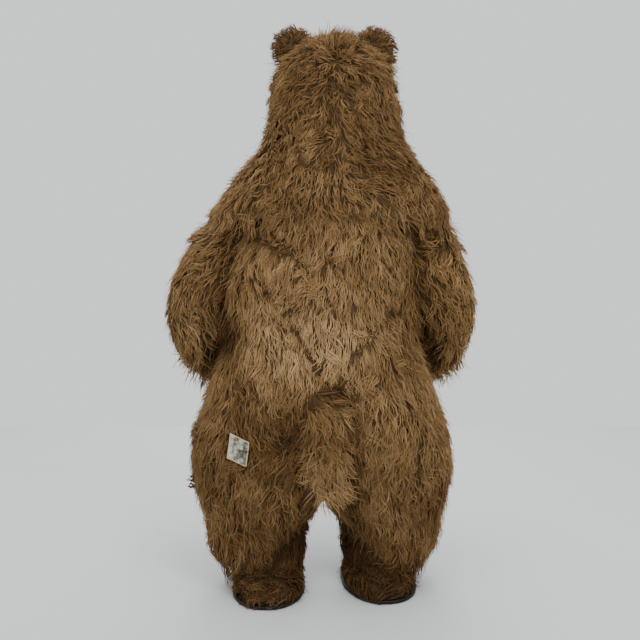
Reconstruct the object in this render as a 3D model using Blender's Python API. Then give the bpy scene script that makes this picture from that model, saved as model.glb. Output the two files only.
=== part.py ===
"""A bear mascot costume in the form it takes when worn: head with a shoulder cape, one-piece
body with sleeves and trousers, paws, tail and feet. Every wall is a hollow shell.

Metres, +Z up. The bear faces -Y and its left side is +X. The origin is where the costume rests
on the wearer's shoulders; the tables below give heights above the underside of the soles.
"""

from collections import namedtuple
import math

import bmesh
import bpy
from mathutils import Vector

for thing in list(bpy.data.objects):
    bpy.data.objects.remove(thing, do_unlink=True)

# Driving dimensions
SHOULDER_HEIGHT = 1.43  # the wearer's shoulders above the underside of the soles
PILE_WALL = 0.018  # woven backing with its long pile laid down
EAR_WALL = 0.012
SEAM = 0.0003  # the gap that parts two pieces, or a piece from what it rests on
CUT_GAP = 0.0008  # the gap left where a piece is fitted to a rounded one
LEAN = -0.046  # how far the head stands to one side
LEAN_FROM = 1.05
LEAN_TO = 1.50
NECK_TOP = 1.43
HIP_SEAM = 0.60
LEG_HEM = 0.095
CAPE_HEM = 1.300
CROWN_SEAM = 1.855
CROWN_TOP = 1.940
CROWN_START = math.radians(17)  # the slope that the crown takes over from the head
RIGHT_FOOT_FORWARD = 0.045
RIGHT_FOOT_OUT = 0.026
LEG_INSIDE = 0.09  # the inner part of a leg, which stands out less than the rest
FOOT_BACK = 0.060  # how far a foot's middle stands behind its leg's
FOOT_IN = 0.030  # and how far towards the other foot
FOOT_STEP_FROM = 0.050  # the instep carries the foot from there
FOOT_STEP_TO = 0.090  # to the leg's own middle
RIGHT_TOE_IN = math.radians(5)
RIGHT_FOOT_SEAT = 0.0003  # how far the turned foot comes forward to meet its leg's hem
SOLE_THICKNESS = 0.013
FOOT_TOP = 0.215
FOLD_FADE = 0.03  # a fold flattens out this far before a hem or a seam
TIP_POWER = 2.2  # how bluntly a paw or the muzzle closes
ROUTE_STEPS = 240
TRUNK_ROWS = 20
TRUNK_COLUMNS = 9
LEG_ROWS = 11
LEG_COLUMNS = {"back": 10, "front": 9}
SLEEVE_ROWS = 22
SLEEVE_COLUMNS = {"outer": 7, "inner": 6}
PAW_ROWS = 6
PAW_COLUMNS = 6
FORM_COLUMNS = 14  # of the hidden forms that cut the pieces
FOOT_COLUMNS = 5
FOOT_HEIGHTS = (SOLE_THICKNESS + SEAM, 0.032, 0.054, 0.070, 0.082, 0.093, 0.150, FOOT_TOP)
SOLE_COLUMNS = 6
HEAD_ROWS = 11
HEAD_COLUMNS = 7
CROWN_ROWS = 4
EAR_COLUMNS = 12
EAR_ROWS = 4
MUZZLE_ROWS = 8
MUZZLE_COLUMNS = 7
TAIL_ROWS = 9
TAIL_COLUMNS = 6
LABEL_ROWS = 4
LABEL_COLUMNS = 3

# Sections of the body, from the leg hem to the neck. Below the crotch the half section is a
# whole tube, and above it the centre plane cuts it. Reaches are measured from side_y.
Ring = namedtuple("Ring", "height centre_x half_width back front side_y power")
BODY = (
    Ring(0.095, 0.214, 0.376, 0.168, 0.152, 0.070, 2.1),
    Ring(0.150, 0.224, 0.397, 0.174, 0.158, 0.062, 2.1),
    Ring(0.200, 0.231, 0.410, 0.187, 0.168, 0.055, 2.1),
    Ring(0.250, 0.230, 0.417, 0.207, 0.183, 0.045, 2.1),
    Ring(0.280, 0.216, 0.427, 0.223, 0.197, 0.040, 2.1),
    Ring(0.330, 0.208, 0.445, 0.246, 0.222, 0.033, 2.1),
    Ring(0.400, 0.193, 0.458, 0.271, 0.250, 0.027, 2.15),
    Ring(0.480, 0.174, 0.460, 0.293, 0.277, 0.020, 2.2),
    Ring(0.560, 0.144, 0.448, 0.308, 0.297, 0.015, 2.2),
    Ring(0.620, 0.110, 0.432, 0.317, 0.309, 0.010, 2.2),
    Ring(0.700, 0.060, 0.405, 0.320, 0.322, 0.005, 2.25),
    Ring(0.780, 0.020, 0.376, 0.309, 0.326, 0.000, 2.3),
    Ring(0.850, 0.000, 0.351, 0.294, 0.316, 0.000, 2.35),
    Ring(0.920, 0.000, 0.338, 0.281, 0.297, 0.000, 2.45),
    Ring(1.000, 0.000, 0.332, 0.270, 0.274, 0.000, 2.6),
    Ring(1.100, 0.000, 0.322, 0.262, 0.257, 0.000, 2.75),
    Ring(1.200, 0.000, 0.308, 0.256, 0.250, 0.000, 2.75),
    Ring(1.300, 0.000, 0.278, 0.2440, 0.246, 0.000, 2.5),
    Ring(1.340, 0.000, 0.250, 0.222, 0.216, 0.000, 2.3),
    Ring(1.380, 0.000, 0.205, 0.190, 0.180, 0.000, 2.2),
    Ring(1.410, 0.000, 0.162, 0.156, 0.145, 0.000, 2.1),
    Ring(1.430, 0.000, 0.130, 0.128, 0.118, 0.000, 2.0),
)
HEAD = (
    Ring(1.300, 0.0, 0.440, 0.262, 0.270, 0.0, 2.4),
    Ring(1.340, 0.0, 0.416, 0.262, 0.262, 0.0, 2.4),
    Ring(1.380, 0.0, 0.392, 0.258, 0.250, 0.0, 2.4),
    Ring(1.420, 0.0, 0.364, 0.252, 0.238, 0.0, 2.35),
    Ring(1.470, 0.0, 0.325, 0.243, 0.225, 0.0, 2.3),
    Ring(1.520, 0.0, 0.285, 0.232, 0.215, 0.0, 2.2),
    Ring(1.560, 0.0, 0.252, 0.225, 0.210, 0.0, 2.15),
    Ring(1.610, 0.0, 0.236, 0.222, 0.215, 0.0, 2.1),
    Ring(1.667, 0.0, 0.229, 0.222, 0.228, 0.0, 2.1),
    Ring(1.740, 0.0, 0.220, 0.218, 0.228, 0.0, 2.1),
    Ring(1.800, 0.0, 0.202, 0.205, 0.212, 0.0, 2.1),
    Ring(1.855, 0.0, 0.177, 0.182, 0.188, 0.0, 2.1),
)
FOOT = (  # about the foot's own middle below, and the leg's above
    Ring(0.0133, 0.0, 0.122, 0.184, 0.276, 0.0, 2.2),
    Ring(0.0500, 0.0, 0.124, 0.184, 0.280, 0.0, 2.2),
    Ring(0.0740, 0.0, 0.121, 0.171, 0.222, 0.0, 2.15),
    Ring(0.0920, 0.0, 0.113, 0.142, 0.1332, 0.0, 2.1),
    Ring(0.1500, 0.0, 0.110, 0.136, 0.118, 0.0, 2.1),
    Ring(0.2150, 0.0, 0.108, 0.132, 0.114, 0.0, 2.1),
)
SOLE_EDGE = 0.005  # how far the sole stands out past the fur

# The arm: its middle line, and how far the sleeve reaches away from the trunk and across.
Station = namedtuple("Station", "x y height out across")
ARM = (
    Station(0.060, 0.000, 1.290, 0.085, 0.090),
    Station(0.190, 0.000, 1.298, 0.104, 0.112),
    Station(0.315, 0.003, 1.241, 0.113, 0.126),
    Station(0.390, 0.010, 1.140, 0.116, 0.130),
    Station(0.432, 0.022, 1.040, 0.116, 0.128),
    Station(0.446, 0.004, 0.955, 0.111, 0.122),
    Station(0.442, -0.062, 0.890, 0.103, 0.120),
    Station(0.424, -0.165, 0.838, 0.094, 0.118),
    Station(0.362, -0.280, 0.797, 0.088, 0.108),
    Station(0.270, -0.347, 0.781, 0.078, 0.092),
    Station(0.200, -0.372, 0.772, 0.068, 0.080),
    Station(0.120, -0.385, 0.764, 0.060, 0.078),
    Station(0.035, -0.387, 0.755, 0.055, 0.074),
)
CUFF = 0.845  # share of the arm's length where the sleeve meets the paw
PAW_ROUND_FROM = 0.45  # share of the paw's length where its tip starts to close
ELBOW_FOLDS = (  # share of the arm's length, depth, half length along the arm
    (0.330, 0.007, 0.020),
    (0.410, 0.009, 0.030),
    (0.490, 0.009, 0.018),
    (0.560, 0.008, 0.018),
    (0.680, 0.007, 0.020),
)

# Folds of the body: where each starts and ends across and up the costume.
Fold = namedtuple("Fold", "x0 height0 x1 height1 depth half_width")
BACK_FOLDS = (
    Fold(0.195, 1.280, 0.023, 1.110, 0.011, 0.032),
    Fold(0.240, 1.230, 0.130, 1.150, 0.009, 0.030),
    Fold(-0.060, 1.240, -0.170, 1.120, 0.008, 0.030),
    Fold(0.148, 0.960, -0.049, 0.808, 0.011, 0.034),
    Fold(-0.178, 0.926, -0.112, 0.847, 0.009, 0.034),
    Fold(0.178, 1.050, 0.200, 1.000, 0.008, 0.034),
    Fold(-0.240, 0.990, -0.225, 0.940, 0.008, 0.034),
    Fold(0.300, 0.760, 0.210, 0.690, 0.008, 0.034),
    Fold(-0.290, 0.720, -0.200, 0.660, 0.008, 0.034),
    Fold(0.140, 0.420, 0.330, 0.385, 0.011, 0.034),
    Fold(-0.140, 0.410, -0.350, 0.370, 0.011, 0.034),
    Fold(0.130, 0.245, 0.320, 0.225, 0.009, 0.032),
    Fold(-0.120, 0.230, -0.320, 0.250, 0.009, 0.032),
)
FRONT_FOLDS = (
    Fold(0.210, 1.240, 0.060, 1.090, 0.008, 0.032),
    Fold(-0.190, 1.200, -0.050, 1.060, 0.008, 0.032),
    Fold(0.060, 0.640, 0.230, 0.560, 0.010, 0.034),
    Fold(-0.070, 0.630, -0.250, 0.570, 0.010, 0.034),
    Fold(0.120, 0.350, 0.310, 0.330, 0.009, 0.032),
    Fold(-0.120, 0.340, -0.320, 0.350, 0.009, 0.032),
    Fold(0.130, 0.190, 0.300, 0.180, 0.009, 0.030),
    Fold(-0.120, 0.180, -0.300, 0.195, 0.009, 0.030),
)

TAIL_X = -0.019
TAIL_TOP = 0.750
TAIL_BOTTOM = 0.392
TAIL_HALF_WIDTH = 0.078
TAIL_THICKNESS = 0.036
TAIL_EDGE = 0.008
TAIL_HANGS_FROM = 0.53  # below this the tail hangs clear of the trousers

LABEL_X = 0.272
LABEL_HEIGHT = 0.537
LABEL_SIZE = (0.071, 0.084)
LABEL_TILT = math.radians(22)
LABEL_SIDE_TILT = math.radians(8)  # it hangs askew
LABEL_THICKNESS = 0.0015

EAR_X = 0.141
EAR_HEIGHT = 1.902
EAR_RADIUS = 0.080
EAR_DEPTH = 0.046
EAR_FRONT_DEPTH = 0.012

# The muzzle and the face are those of a plain bear.
MUZZLE = (
    Station(0.0, -0.080, 1.640, 0.092, 0.108),
    Station(0.0, -0.190, 1.637, 0.090, 0.106),
    Station(0.0, -0.290, 1.628, 0.080, 0.094),
    Station(0.0, -0.385, 1.615, 0.070, 0.080),
)
MUZZLE_ROUND_FROM = 0.55
NOSE_PLACE = (0.0, -0.382, 1.645)
NOSE_SIZE = (0.042, 0.028, 0.030)
EYE_PLACE = (0.082, -0.206, 1.762)
EYE_RADIUS = 0.022

ROOT = bpy.data.objects.new("costume", None)
bpy.context.scene.collection.objects.link(ROOT)
ROOT.location = (0.0, 0.0, -SHOULDER_HEIGHT)


def material(name, colour, roughness):
    made = bpy.data.materials.new(name)
    made.use_nodes = True
    surface = made.node_tree.nodes["Principled BSDF"]
    surface.inputs["Base Color"].default_value = (*colour, 1.0)
    surface.inputs["Roughness"].default_value = roughness
    surface.inputs["Metallic"].default_value = 0.0
    return made


BROWN_PILE = material("brown long pile", (0.155, 0.083, 0.038), 0.9)
BLACK_RUBBER = material("black rubber", (0.018, 0.017, 0.016), 0.7)
BLACK_GLOSS = material("black gloss plastic", (0.008, 0.007, 0.007), 0.12)
CLEAR_FILM = material("creased clear film", (0.55, 0.58, 0.52), 0.2)


def smooth(share):
    share = min(max(share, 0.0), 1.0)
    return share * share * (3.0 - 2.0 * share)


def read(keys, values, at):
    """A smooth curve through values, read at a place among rising keys."""
    at = min(max(at, keys[0]), keys[-1])
    last = len(keys) - 1
    low = max(k for k in range(last) if keys[k] <= at)

    def slope(k):
        before, after = max(k - 1, 0), min(k + 1, last)
        return (values[after] - values[before]) / (keys[after] - keys[before])

    span = keys[low + 1] - keys[low]
    t = (at - keys[low]) / span
    rise = values[low + 1] - values[low]
    start, end = slope(low) * span, slope(low + 1) * span
    return values[low] + t * (start + t * (3 * rise - 2 * start - end + t * (start + end - 2 * rise)))


def section(table, height):
    """The ring of a table at any height."""
    keys = [ring.height for ring in table]
    columns = [read(keys, [ring[n] for ring in table], height) for n in range(1, len(Ring._fields))]
    return Ring(height, *columns)


def section_point(ring, share, facing, shrink=0.0):
    """A point of a half section, from its side seam at share 0 to the centre seam or inseam at 1."""
    reach = ring.half_width - ring.centre_x - shrink
    cut = min(max((ring.centre_x - SEAM / 2) / reach, 0.0), 1.0)
    angle = share * (math.pi - math.acos(cut ** (ring.power / 2)))
    across, along = math.cos(angle), max(math.sin(angle), 0.0)
    depth = (ring.back if facing > 0 else ring.front) - shrink
    x = ring.centre_x + reach * math.copysign(abs(across) ** (2 / ring.power), across)
    y = max(depth * along ** (2 / ring.power), SEAM / 2)
    return max(x, SEAM / 2), ring.side_y + facing * y


def section_depth(ring, x):
    """How far back the section reaches at x."""
    part = abs(x - ring.centre_x) / (ring.half_width - ring.centre_x)
    return ring.side_y + ring.back * max(1.0 - part**ring.power, 0.0) ** (1 / ring.power)


def lean(height):
    return LEAN * smooth((height - LEAN_FROM) / (LEAN_TO - LEAN_FROM))


def placed(side, x, y, height):
    """A point of the left half, or its like on the right, where the leg stands out and forward."""
    step = 0.0 if side > 0 else 1.0 - smooth((height - LEG_HEM) / HIP_SEAM)
    x = side * x - step * RIGHT_FOOT_OUT * smooth(x / LEG_INSIDE) + lean(height)
    return Vector((x, y - step * RIGHT_FOOT_FORWARD, height))


def fold_depth(folds, x, height):
    """How far the folds press the cloth in at a point."""
    pressed = 0.0
    for fold in folds:
        along = Vector((fold.x1 - fold.x0, fold.height1 - fold.height0))
        here = Vector((x - fold.x0, height - fold.height0))
        share = min(max(here.dot(along) / along.length_squared, 0.0), 1.0)
        away = (here - share * along).length / fold.half_width
        pressed = max(pressed, fold.depth * math.exp(-away * away))
    return pressed


def finish(name, builder, finish_material, hidden=False):
    bmesh.ops.remove_doubles(builder, verts=builder.verts, dist=0.00001)
    loose = [edge for edge in builder.edges if not edge.link_faces]
    bmesh.ops.delete(builder, geom=loose, context="EDGES")
    bmesh.ops.recalc_face_normals(builder, faces=builder.faces)
    if builder.calc_volume(signed=True) < 0:
        bmesh.ops.reverse_faces(builder, faces=builder.faces)
    mesh = bpy.data.meshes.new(name)
    builder.to_mesh(mesh)
    builder.free()
    mesh.shade_smooth()
    mesh.set_sharp_from_angle(angle=math.radians(50))
    made = bpy.data.objects.new(name, mesh)
    bpy.context.scene.collection.objects.link(made)
    made.parent = ROOT
    if hidden:
        made.hide_render = True
        made.display_type = "WIRE"
    else:
        mesh.materials.append(finish_material)
    return made


def shell(name, outer, inner, closed=False, finish_material=BROWN_PILE):
    """A wall between two grids of points. A closed grid joins its last column to its first."""
    builder = bmesh.new()
    out = [[builder.verts.new(point) for point in row] for row in outer]
    into = [[builder.verts.new(point) for point in row] for row in inner]
    columns = len(out[0])
    steps = [(j, (j + 1) % columns) for j in range(columns if closed else columns - 1)]
    for i in range(len(out) - 1):
        for j, k in steps:
            builder.faces.new((out[i][j], out[i][k], out[i + 1][k], out[i + 1][j]))
            builder.faces.new((into[i][j], into[i + 1][j], into[i + 1][k], into[i][k]))
    for i in (0, -1):
        for j, k in steps:
            builder.faces.new((out[i][j], into[i][j], into[i][k], out[i][k]))
    if not closed:
        for j in (0, -1):
            for i in range(len(out) - 1):
                builder.faces.new((out[i][j], out[i + 1][j], into[i + 1][j], into[i][j]))
    return finish(name, builder, finish_material)


def solid(name, rows, finish_material=None, hidden=False):
    """A filled form through closed rings."""
    builder = bmesh.new()
    rings = [[builder.verts.new(point) for point in row] for row in rows]
    count = len(rings[0])
    for low, high in zip(rings, rings[1:]):
        for j in range(count):
            k = (j + 1) % count
            builder.faces.new((low[j], low[k], high[k], high[j]))
    builder.faces.new(rings[0])
    builder.faces.new(rings[-1])
    return finish(name, builder, finish_material, hidden)


def cut(piece, *cutters):
    for cutter in cutters:
        boolean = piece.modifiers.new("cut by " + cutter.name, "BOOLEAN")
        boolean.operation = "DIFFERENCE"
        boolean.solver = "EXACT"
        boolean.object = cutter


def steps_between(low, high, count):
    return [low + (high - low) * n / count for n in range(count + 1)]


def panel(name, table, side, facing, low, high, rows, columns, folds=()):
    """A quarter of a lofted tube, between its side seam and its centre seam or inseam."""
    outer, inner = [], []
    for height in steps_between(low, high, rows):
        ring = section(table, height)
        edge = min(height - low, high - height)
        outside, inside = [], []
        for share in steps_between(0.0, 1.0, columns):
            x, y = section_point(ring, share, facing)
            pressed = fold_depth(folds, side * x, height) * smooth(edge / FOLD_FADE)
            pressed *= smooth(4.0 * share) * smooth(6.0 * (1.0 - share))
            outside.append(placed(side, x, y - facing * pressed, height))
            x, y = section_point(ring, share, facing, PILE_WALL)
            inside.append(placed(side, x, y, height))
        outer.append(outside)
        inner.append(inside)
    return shell(name, outer, inner)


def around(ring, columns, shrink=0.0, scale=1.0):
    """The points round a whole section, starting at its left side and going by the back."""
    points = []
    for side, facing, from_centre in ((1, 1, False), (-1, 1, True), (-1, -1, False), (1, -1, True)):
        shares = steps_between(0.0, 1.0, columns)
        if from_centre:
            shares.reverse()
        for share in shares[:-1]:
            x, y = section_point(ring, share, facing, shrink)
            points.append((side * x * scale, y * scale))
    return points


def crown_rings(rows, columns, shrink=0.0):
    """The rings of the domed top of the head, or of its inner face, which is the same dome made smaller."""
    base = section(HEAD, CROWN_SEAM)
    smaller = 1.0 - shrink / base.half_width
    rise = (CROWN_TOP - CROWN_SEAM) * (1.0 - shrink / (CROWN_TOP - CROWN_SEAM))
    rings = []
    for turn in steps_between(CROWN_START, math.pi / 2, rows):
        scale = smaller * math.cos(turn) / math.cos(CROWN_START)
        lifted = rise * (math.sin(turn) - math.sin(CROWN_START)) / (1.0 - math.sin(CROWN_START))
        height = CROWN_SEAM + SEAM / 2 + lifted
        rings.append([placed(1, x, y, height) for x, y in around(base, columns, 0.0, scale)])
    return rings


def closed_form(name, table, low, high, rows, columns, capped_by=()):
    """What a lofted body takes up, a seam's gap larger, to cut whatever meets it."""
    rings = []
    for height in steps_between(low, high, rows):
        ring = section(table, height)
        rings.append([placed(1, x, y, height) for x, y in around(ring, columns, -CUT_GAP)])
    rings.extend(capped_by)
    return solid(name, rings, hidden=True)


def route(stations, first_out):
    """A path's frames: middle, outward and crosswise directions and reaches, at shares of its length."""
    lengths = [0.0]
    for here, there in zip(stations, stations[1:]):
        lengths.append(lengths[-1] + (Vector(there[:3]) - Vector(here[:3])).length)
    keys = [length / lengths[-1] for length in lengths]

    def middle(share):
        return Vector([read(keys, [station[n] for station in stations], share) for n in range(3)])

    frames = []
    outward = Vector(first_out)
    half_step = 0.5 / ROUTE_STEPS
    for share in steps_between(0.0, 1.0, ROUTE_STEPS):
        ahead = (middle(share + half_step) - middle(share - half_step)).normalized()
        outward = (outward - outward.dot(ahead) * ahead).normalized()
        frames.append((outward.copy(), ahead.cross(outward)))

    def frame(share):
        share = min(max(share, 0.0), 1.0)
        out, across = frames[round(share * ROUTE_STEPS)]
        reach_out = read(keys, [station.out for station in stations], share)
        reach_across = read(keys, [station.across for station in stations], share)
        return middle(share), out, across, reach_out, reach_across

    return frame, lengths[-1]


def closing(share, round_from):
    """How a tube narrows to its rounded tip."""
    past = max(share - round_from, 0.0) / (1.0 - round_from)
    return math.sqrt(max(1.0 - past**TIP_POWER, 0.0))


def swept_ring(frame, share, angles, shrink, scale=1.0, half=0, dents=None):
    middle, out, across, reach_out, reach_across = frame(share)
    ring = []
    for angle in angles:
        dent = dents(share, angle) if dents else 0.0
        away = (reach_out - shrink - dent) * scale * math.cos(angle)
        along = (reach_across - shrink - dent) * scale * math.sin(angle)
        if half:
            away = half * max(away, SEAM / 2)
        ring.append(middle + away * out + along * across)
    return ring


def tube_half(name, path, side, half, start, end, rows, columns, round_from=None, dents=None):
    """One of the two pieces of a sleeve, paw or muzzle: half 1 is the outward piece, -1 the other."""
    frame, length = path
    angles = steps_between(-math.pi / 2, math.pi / 2, columns)
    outer, inner = [], []
    for share in steps_between(0.0, 1.0, rows):
        scale = 1.0 if round_from is None else closing(share, round_from)
        shorter = 1.0 if round_from is None else 1.0 - PILE_WALL / ((end - start) * length)
        outside = start + (end - start) * share
        inside = start + (end - start) * share * shorter
        outer.append(swept_ring(frame, outside, angles, 0.0, scale, half, dents))
        inner.append(swept_ring(frame, inside, angles, PILE_WALL, scale, half))
    outer = [[placed(side, *point) for point in ring] for ring in outer]
    inner = [[placed(side, *point) for point in ring] for ring in inner]
    return shell(name, outer, inner)


def tube_form(name, path, side, start, end, rows, columns, shrink, round_from=None):
    """The whole space inside a tube at some depth, to cut what it opens into."""
    frame, _ = path
    angles = [2 * math.pi * n / columns for n in range(columns)]
    rings = []
    for share in steps_between(0.0, 1.0, rows):
        scale = 1.0 if round_from is None else max(closing(share, round_from), 0.05)
        ring = swept_ring(frame, start + (end - start) * share, angles, shrink, scale)
        rings.append([placed(side, *point) for point in ring])
    return solid(name, rings, hidden=True)


def ball(name, place, size, finish_material):
    builder = bmesh.new()
    bmesh.ops.create_uvsphere(builder, u_segments=12, v_segments=7, radius=1.0)
    for vert in builder.verts:
        vert.co = Vector(place) + Vector(a * b for a, b in zip(vert.co, size))
    return finish(name, builder, finish_material)


def elbow_dent(share, angle):
    """The creases of a bent sleeve, deepest in the crook of the elbow."""
    front = 0.35 + 0.65 * smooth(0.5 + 0.5 * math.sin(angle))
    pressed = 0.0
    for place, depth, half_length in ELBOW_FOLDS:
        away = (share - place) / half_length
        pressed += depth * front * math.exp(-away * away)
    return min(pressed, 0.6 * PILE_WALL)


def make_trunk_and_legs(side, hand):
    """The halves of the body's back and front, above and below the hip seam."""
    low, high = HIP_SEAM + SEAM / 2, NECK_TOP
    back = panel("body_back_" + hand, BODY, side, 1, low, high, TRUNK_ROWS, TRUNK_COLUMNS, BACK_FOLDS)
    front = panel("body_front_" + hand, BODY, side, -1, low, high, TRUNK_ROWS, TRUNK_COLUMNS, FRONT_FOLDS)
    low, high = LEG_HEM, HIP_SEAM - SEAM / 2
    panel("leg_back_" + hand, BODY, side, 1, low, high, LEG_ROWS, LEG_COLUMNS["back"], BACK_FOLDS)
    panel("leg_front_" + hand, BODY, side, -1, low, high, LEG_ROWS, LEG_COLUMNS["front"], FRONT_FOLDS)
    return back, front


def make_arm(side, hand, trunk_form):
    """A sleeve set on the trunk, and the paw at its cuff. Returns the sleeve's inner space."""
    path = route(ARM, (0.0, 0.0, 1.0))
    gap = SEAM / path[1]
    for name, half in (("outer", 1), ("inner", -1)):
        whole, columns = f"sleeve_{name}_{hand}", SLEEVE_COLUMNS[name]
        piece = tube_half(whole, path, side, half, 0.0, CUFF, SLEEVE_ROWS, columns, dents=elbow_dent)
        cut(piece, trunk_form)
    for name, half in (("back", 1), ("palm", -1)):
        whole = f"paw_{name}_{hand}"
        tube_half(whole, path, side, half, CUFF + gap, 1.0, PAW_ROWS, PAW_COLUMNS, PAW_ROUND_FROM)
    return tube_form("sleeve_core_" + hand, path, side, 0.0, 0.45, 10, FORM_COLUMNS, PILE_WALL)


def foot_point(side, x, y, height):
    """Places a point of a foot behind and inside its leg's middle, with the right toes turned in."""
    turn = 0.0 if side > 0 else RIGHT_TOE_IN
    low = 1.0 - smooth((height - FOOT_STEP_FROM) / (FOOT_STEP_TO - FOOT_STEP_FROM))
    across = x * math.cos(turn) + y * math.sin(turn) - low * FOOT_IN
    along = y * math.cos(turn) - x * math.sin(turn) + low * FOOT_BACK
    leg = BODY[0]
    seat = 0.0 if side > 0 else RIGHT_FOOT_SEAT
    return placed(side, leg.centre_x + across, leg.side_y + along - seat, height)


def make_foot(side, hand):
    outer, inner = [], []
    for height in FOOT_HEIGHTS:
        ring = section(FOOT, height)
        outer.append([foot_point(side, x, y, height) for x, y in around(ring, FOOT_COLUMNS)])
        inner.append([foot_point(side, x, y, height) for x, y in around(ring, FOOT_COLUMNS, PILE_WALL)])
    shell("foot_upper_" + hand, outer, inner, closed=True)
    rings = []
    for height, inset in ((0.0, 0.002), (0.004, 0.0), (SOLE_THICKNESS, 0.0)):
        outline = around(section(FOOT, FOOT[0].height), SOLE_COLUMNS, inset - SOLE_EDGE)
        rings.append([foot_point(side, x, y, height) for x, y in outline])
    solid("sole_" + hand, rings, BLACK_RUBBER)


def make_head():
    """The head and its cape, the domed crown, and the form that cuts what is set on them."""
    fronts = []
    low, high = CAPE_HEM, CROWN_SEAM - SEAM / 2
    for side, hand in ((1, "left"), (-1, "right")):
        panel("head_back_" + hand, HEAD, side, 1, low, high, HEAD_ROWS, HEAD_COLUMNS)
        fronts.append(panel("head_front_" + hand, HEAD, side, -1, low, high, HEAD_ROWS, HEAD_COLUMNS))
    outside = crown_rings(CROWN_ROWS, HEAD_COLUMNS)
    shell("crown", outside, crown_rings(CROWN_ROWS, HEAD_COLUMNS, PILE_WALL), closed=True)
    dome = crown_rings(CROWN_ROWS, HEAD_COLUMNS, -CUT_GAP)[1:-1]
    return fronts, closed_form("head_form", HEAD, low, high, HEAD_ROWS, HEAD_COLUMNS, dome)


def make_ear(side, hand, head_form):
    around_ear = [2 * math.pi * n / EAR_COLUMNS for n in range(EAR_COLUMNS)]

    def ring(radius, depth):
        points = []
        for angle in around_ear:
            x = EAR_X + radius * math.cos(angle)
            height = EAR_HEIGHT + radius * math.sin(angle)
            points.append(Vector((side * x + lean(EAR_HEIGHT), depth, height)))
        return points

    def dome(radius, depth):
        return [
            ring(radius * math.cos(turn), depth * math.sin(turn))
            for turn in steps_between(0.0, math.pi / 2, EAR_ROWS)
        ]

    hollow_radius, hollow_depth = EAR_RADIUS - EAR_WALL, EAR_DEPTH - EAR_WALL
    back = shell("ear_back_" + hand, dome(EAR_RADIUS, EAR_DEPTH), dome(hollow_radius, hollow_depth), True)
    play = 4 * SEAM
    narrower = math.sqrt(1.0 - (EAR_FRONT_DEPTH / hollow_depth) ** 2)
    face, rear = [], []
    for share in (1.0, 0.7, 0.35, 0.0):
        dish = 0.006 * (1.0 - share * share)
        face.append(ring((hollow_radius - play) * share, dish))
        rear.append(ring((hollow_radius * narrower - play) * share, EAR_FRONT_DEPTH + dish))
    front = shell("ear_front_" + hand, face, rear, True)
    cut(back, head_form)
    cut(front, head_form)


def make_face(fronts, head_form):
    """A plain bear's muzzle, nose and eyes."""
    path = route(MUZZLE, (0.0, 0.0, 1.0))
    for name, half in (("upper", 1), ("lower", -1)):
        whole = "muzzle_" + name
        piece = tube_half(whole, path, 1, half, 0.0, 1.0, MUZZLE_ROWS, MUZZLE_COLUMNS, MUZZLE_ROUND_FROM)
        cut(piece, head_form)
    core = tube_form("muzzle_core", path, 1, 0.0, 0.75, 4, FORM_COLUMNS, PILE_WALL)
    for front in fronts:
        cut(front, core)
    outside = tube_form("muzzle_form", path, 1, 0.0, 1.0, 16, FORM_COLUMNS, -CUT_GAP, MUZZLE_ROUND_FROM)
    x, y, height = NOSE_PLACE
    cut(ball("nose", (x + lean(height), y, height), NOSE_SIZE, BLACK_GLOSS), outside)
    for side, hand in ((1, "left"), (-1, "right")):
        x, y, height = EYE_PLACE
        eye = ball("eye_" + hand, (side * x + lean(height), y, height), [EYE_RADIUS] * 3, BLACK_GLOSS)
        cut(eye, head_form)


def make_tail():
    """A flat stuffed tail, sewn on at the top and hanging over the seat like a tongue."""
    outer, inner = [], []
    for share in steps_between(0.0, 1.0, TAIL_ROWS):
        height = TAIL_TOP + (TAIL_BOTTOM - TAIL_TOP) * share
        rounded = math.sqrt(1.0 - max(1.0 - share / 0.3, 0.0) ** 2)
        narrowed = 1.0 - 0.45 * max((share - 0.6) / 0.4, 0.0) ** 2
        half_width = TAIL_HALF_WIDTH * (0.4 + 0.6 * rounded) * narrowed
        thickness = (TAIL_THICKNESS - TAIL_EDGE) * smooth(share / 0.35) * (1.0 - 0.6 * share**3)
        ring = section(BODY, max(height, TAIL_HANGS_FROM))
        across = steps_between(TAIL_X - half_width, TAIL_X + half_width, TAIL_COLUMNS)
        finer = steps_between(TAIL_X - half_width, TAIL_X + half_width, 4 * TAIL_COLUMNS)
        under = max(section_depth(ring, x) for x in finer) + CUT_GAP
        top, below = [], []
        for x in across:
            swell = TAIL_EDGE + thickness * math.sqrt(max(1.0 - ((x - TAIL_X) / half_width) ** 2, 0.0))
            top.append(placed(1, x, under + swell, height))
            below.append(placed(1, x, under, height))
        outer.append(top)
        inner.append(below)
    shell("tail", outer, inner)


def make_label():
    """A bare label of clear film that lies on the left of the seat."""
    outer, inner = [], []
    for up in steps_between(-0.5, 0.5, LABEL_ROWS):
        top, below = [], []
        for across in steps_between(-0.5, 0.5, LABEL_COLUMNS):
            right, rise = across * LABEL_SIZE[0], up * LABEL_SIZE[1]
            x = LABEL_X + right * math.cos(LABEL_TILT) - rise * math.sin(LABEL_SIDE_TILT)
            height = LABEL_HEIGHT + right * math.sin(LABEL_TILT) + rise * math.cos(LABEL_SIDE_TILT)
            under = section_depth(section(BODY, height), x) + 2 * SEAM
            below.append(placed(1, x, under, height))
            top.append(placed(1, x, under + LABEL_THICKNESS, height))
        outer.append(top)
        inner.append(below)
    shell("hip_label", outer, inner, finish_material=CLEAR_FILM)


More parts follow.
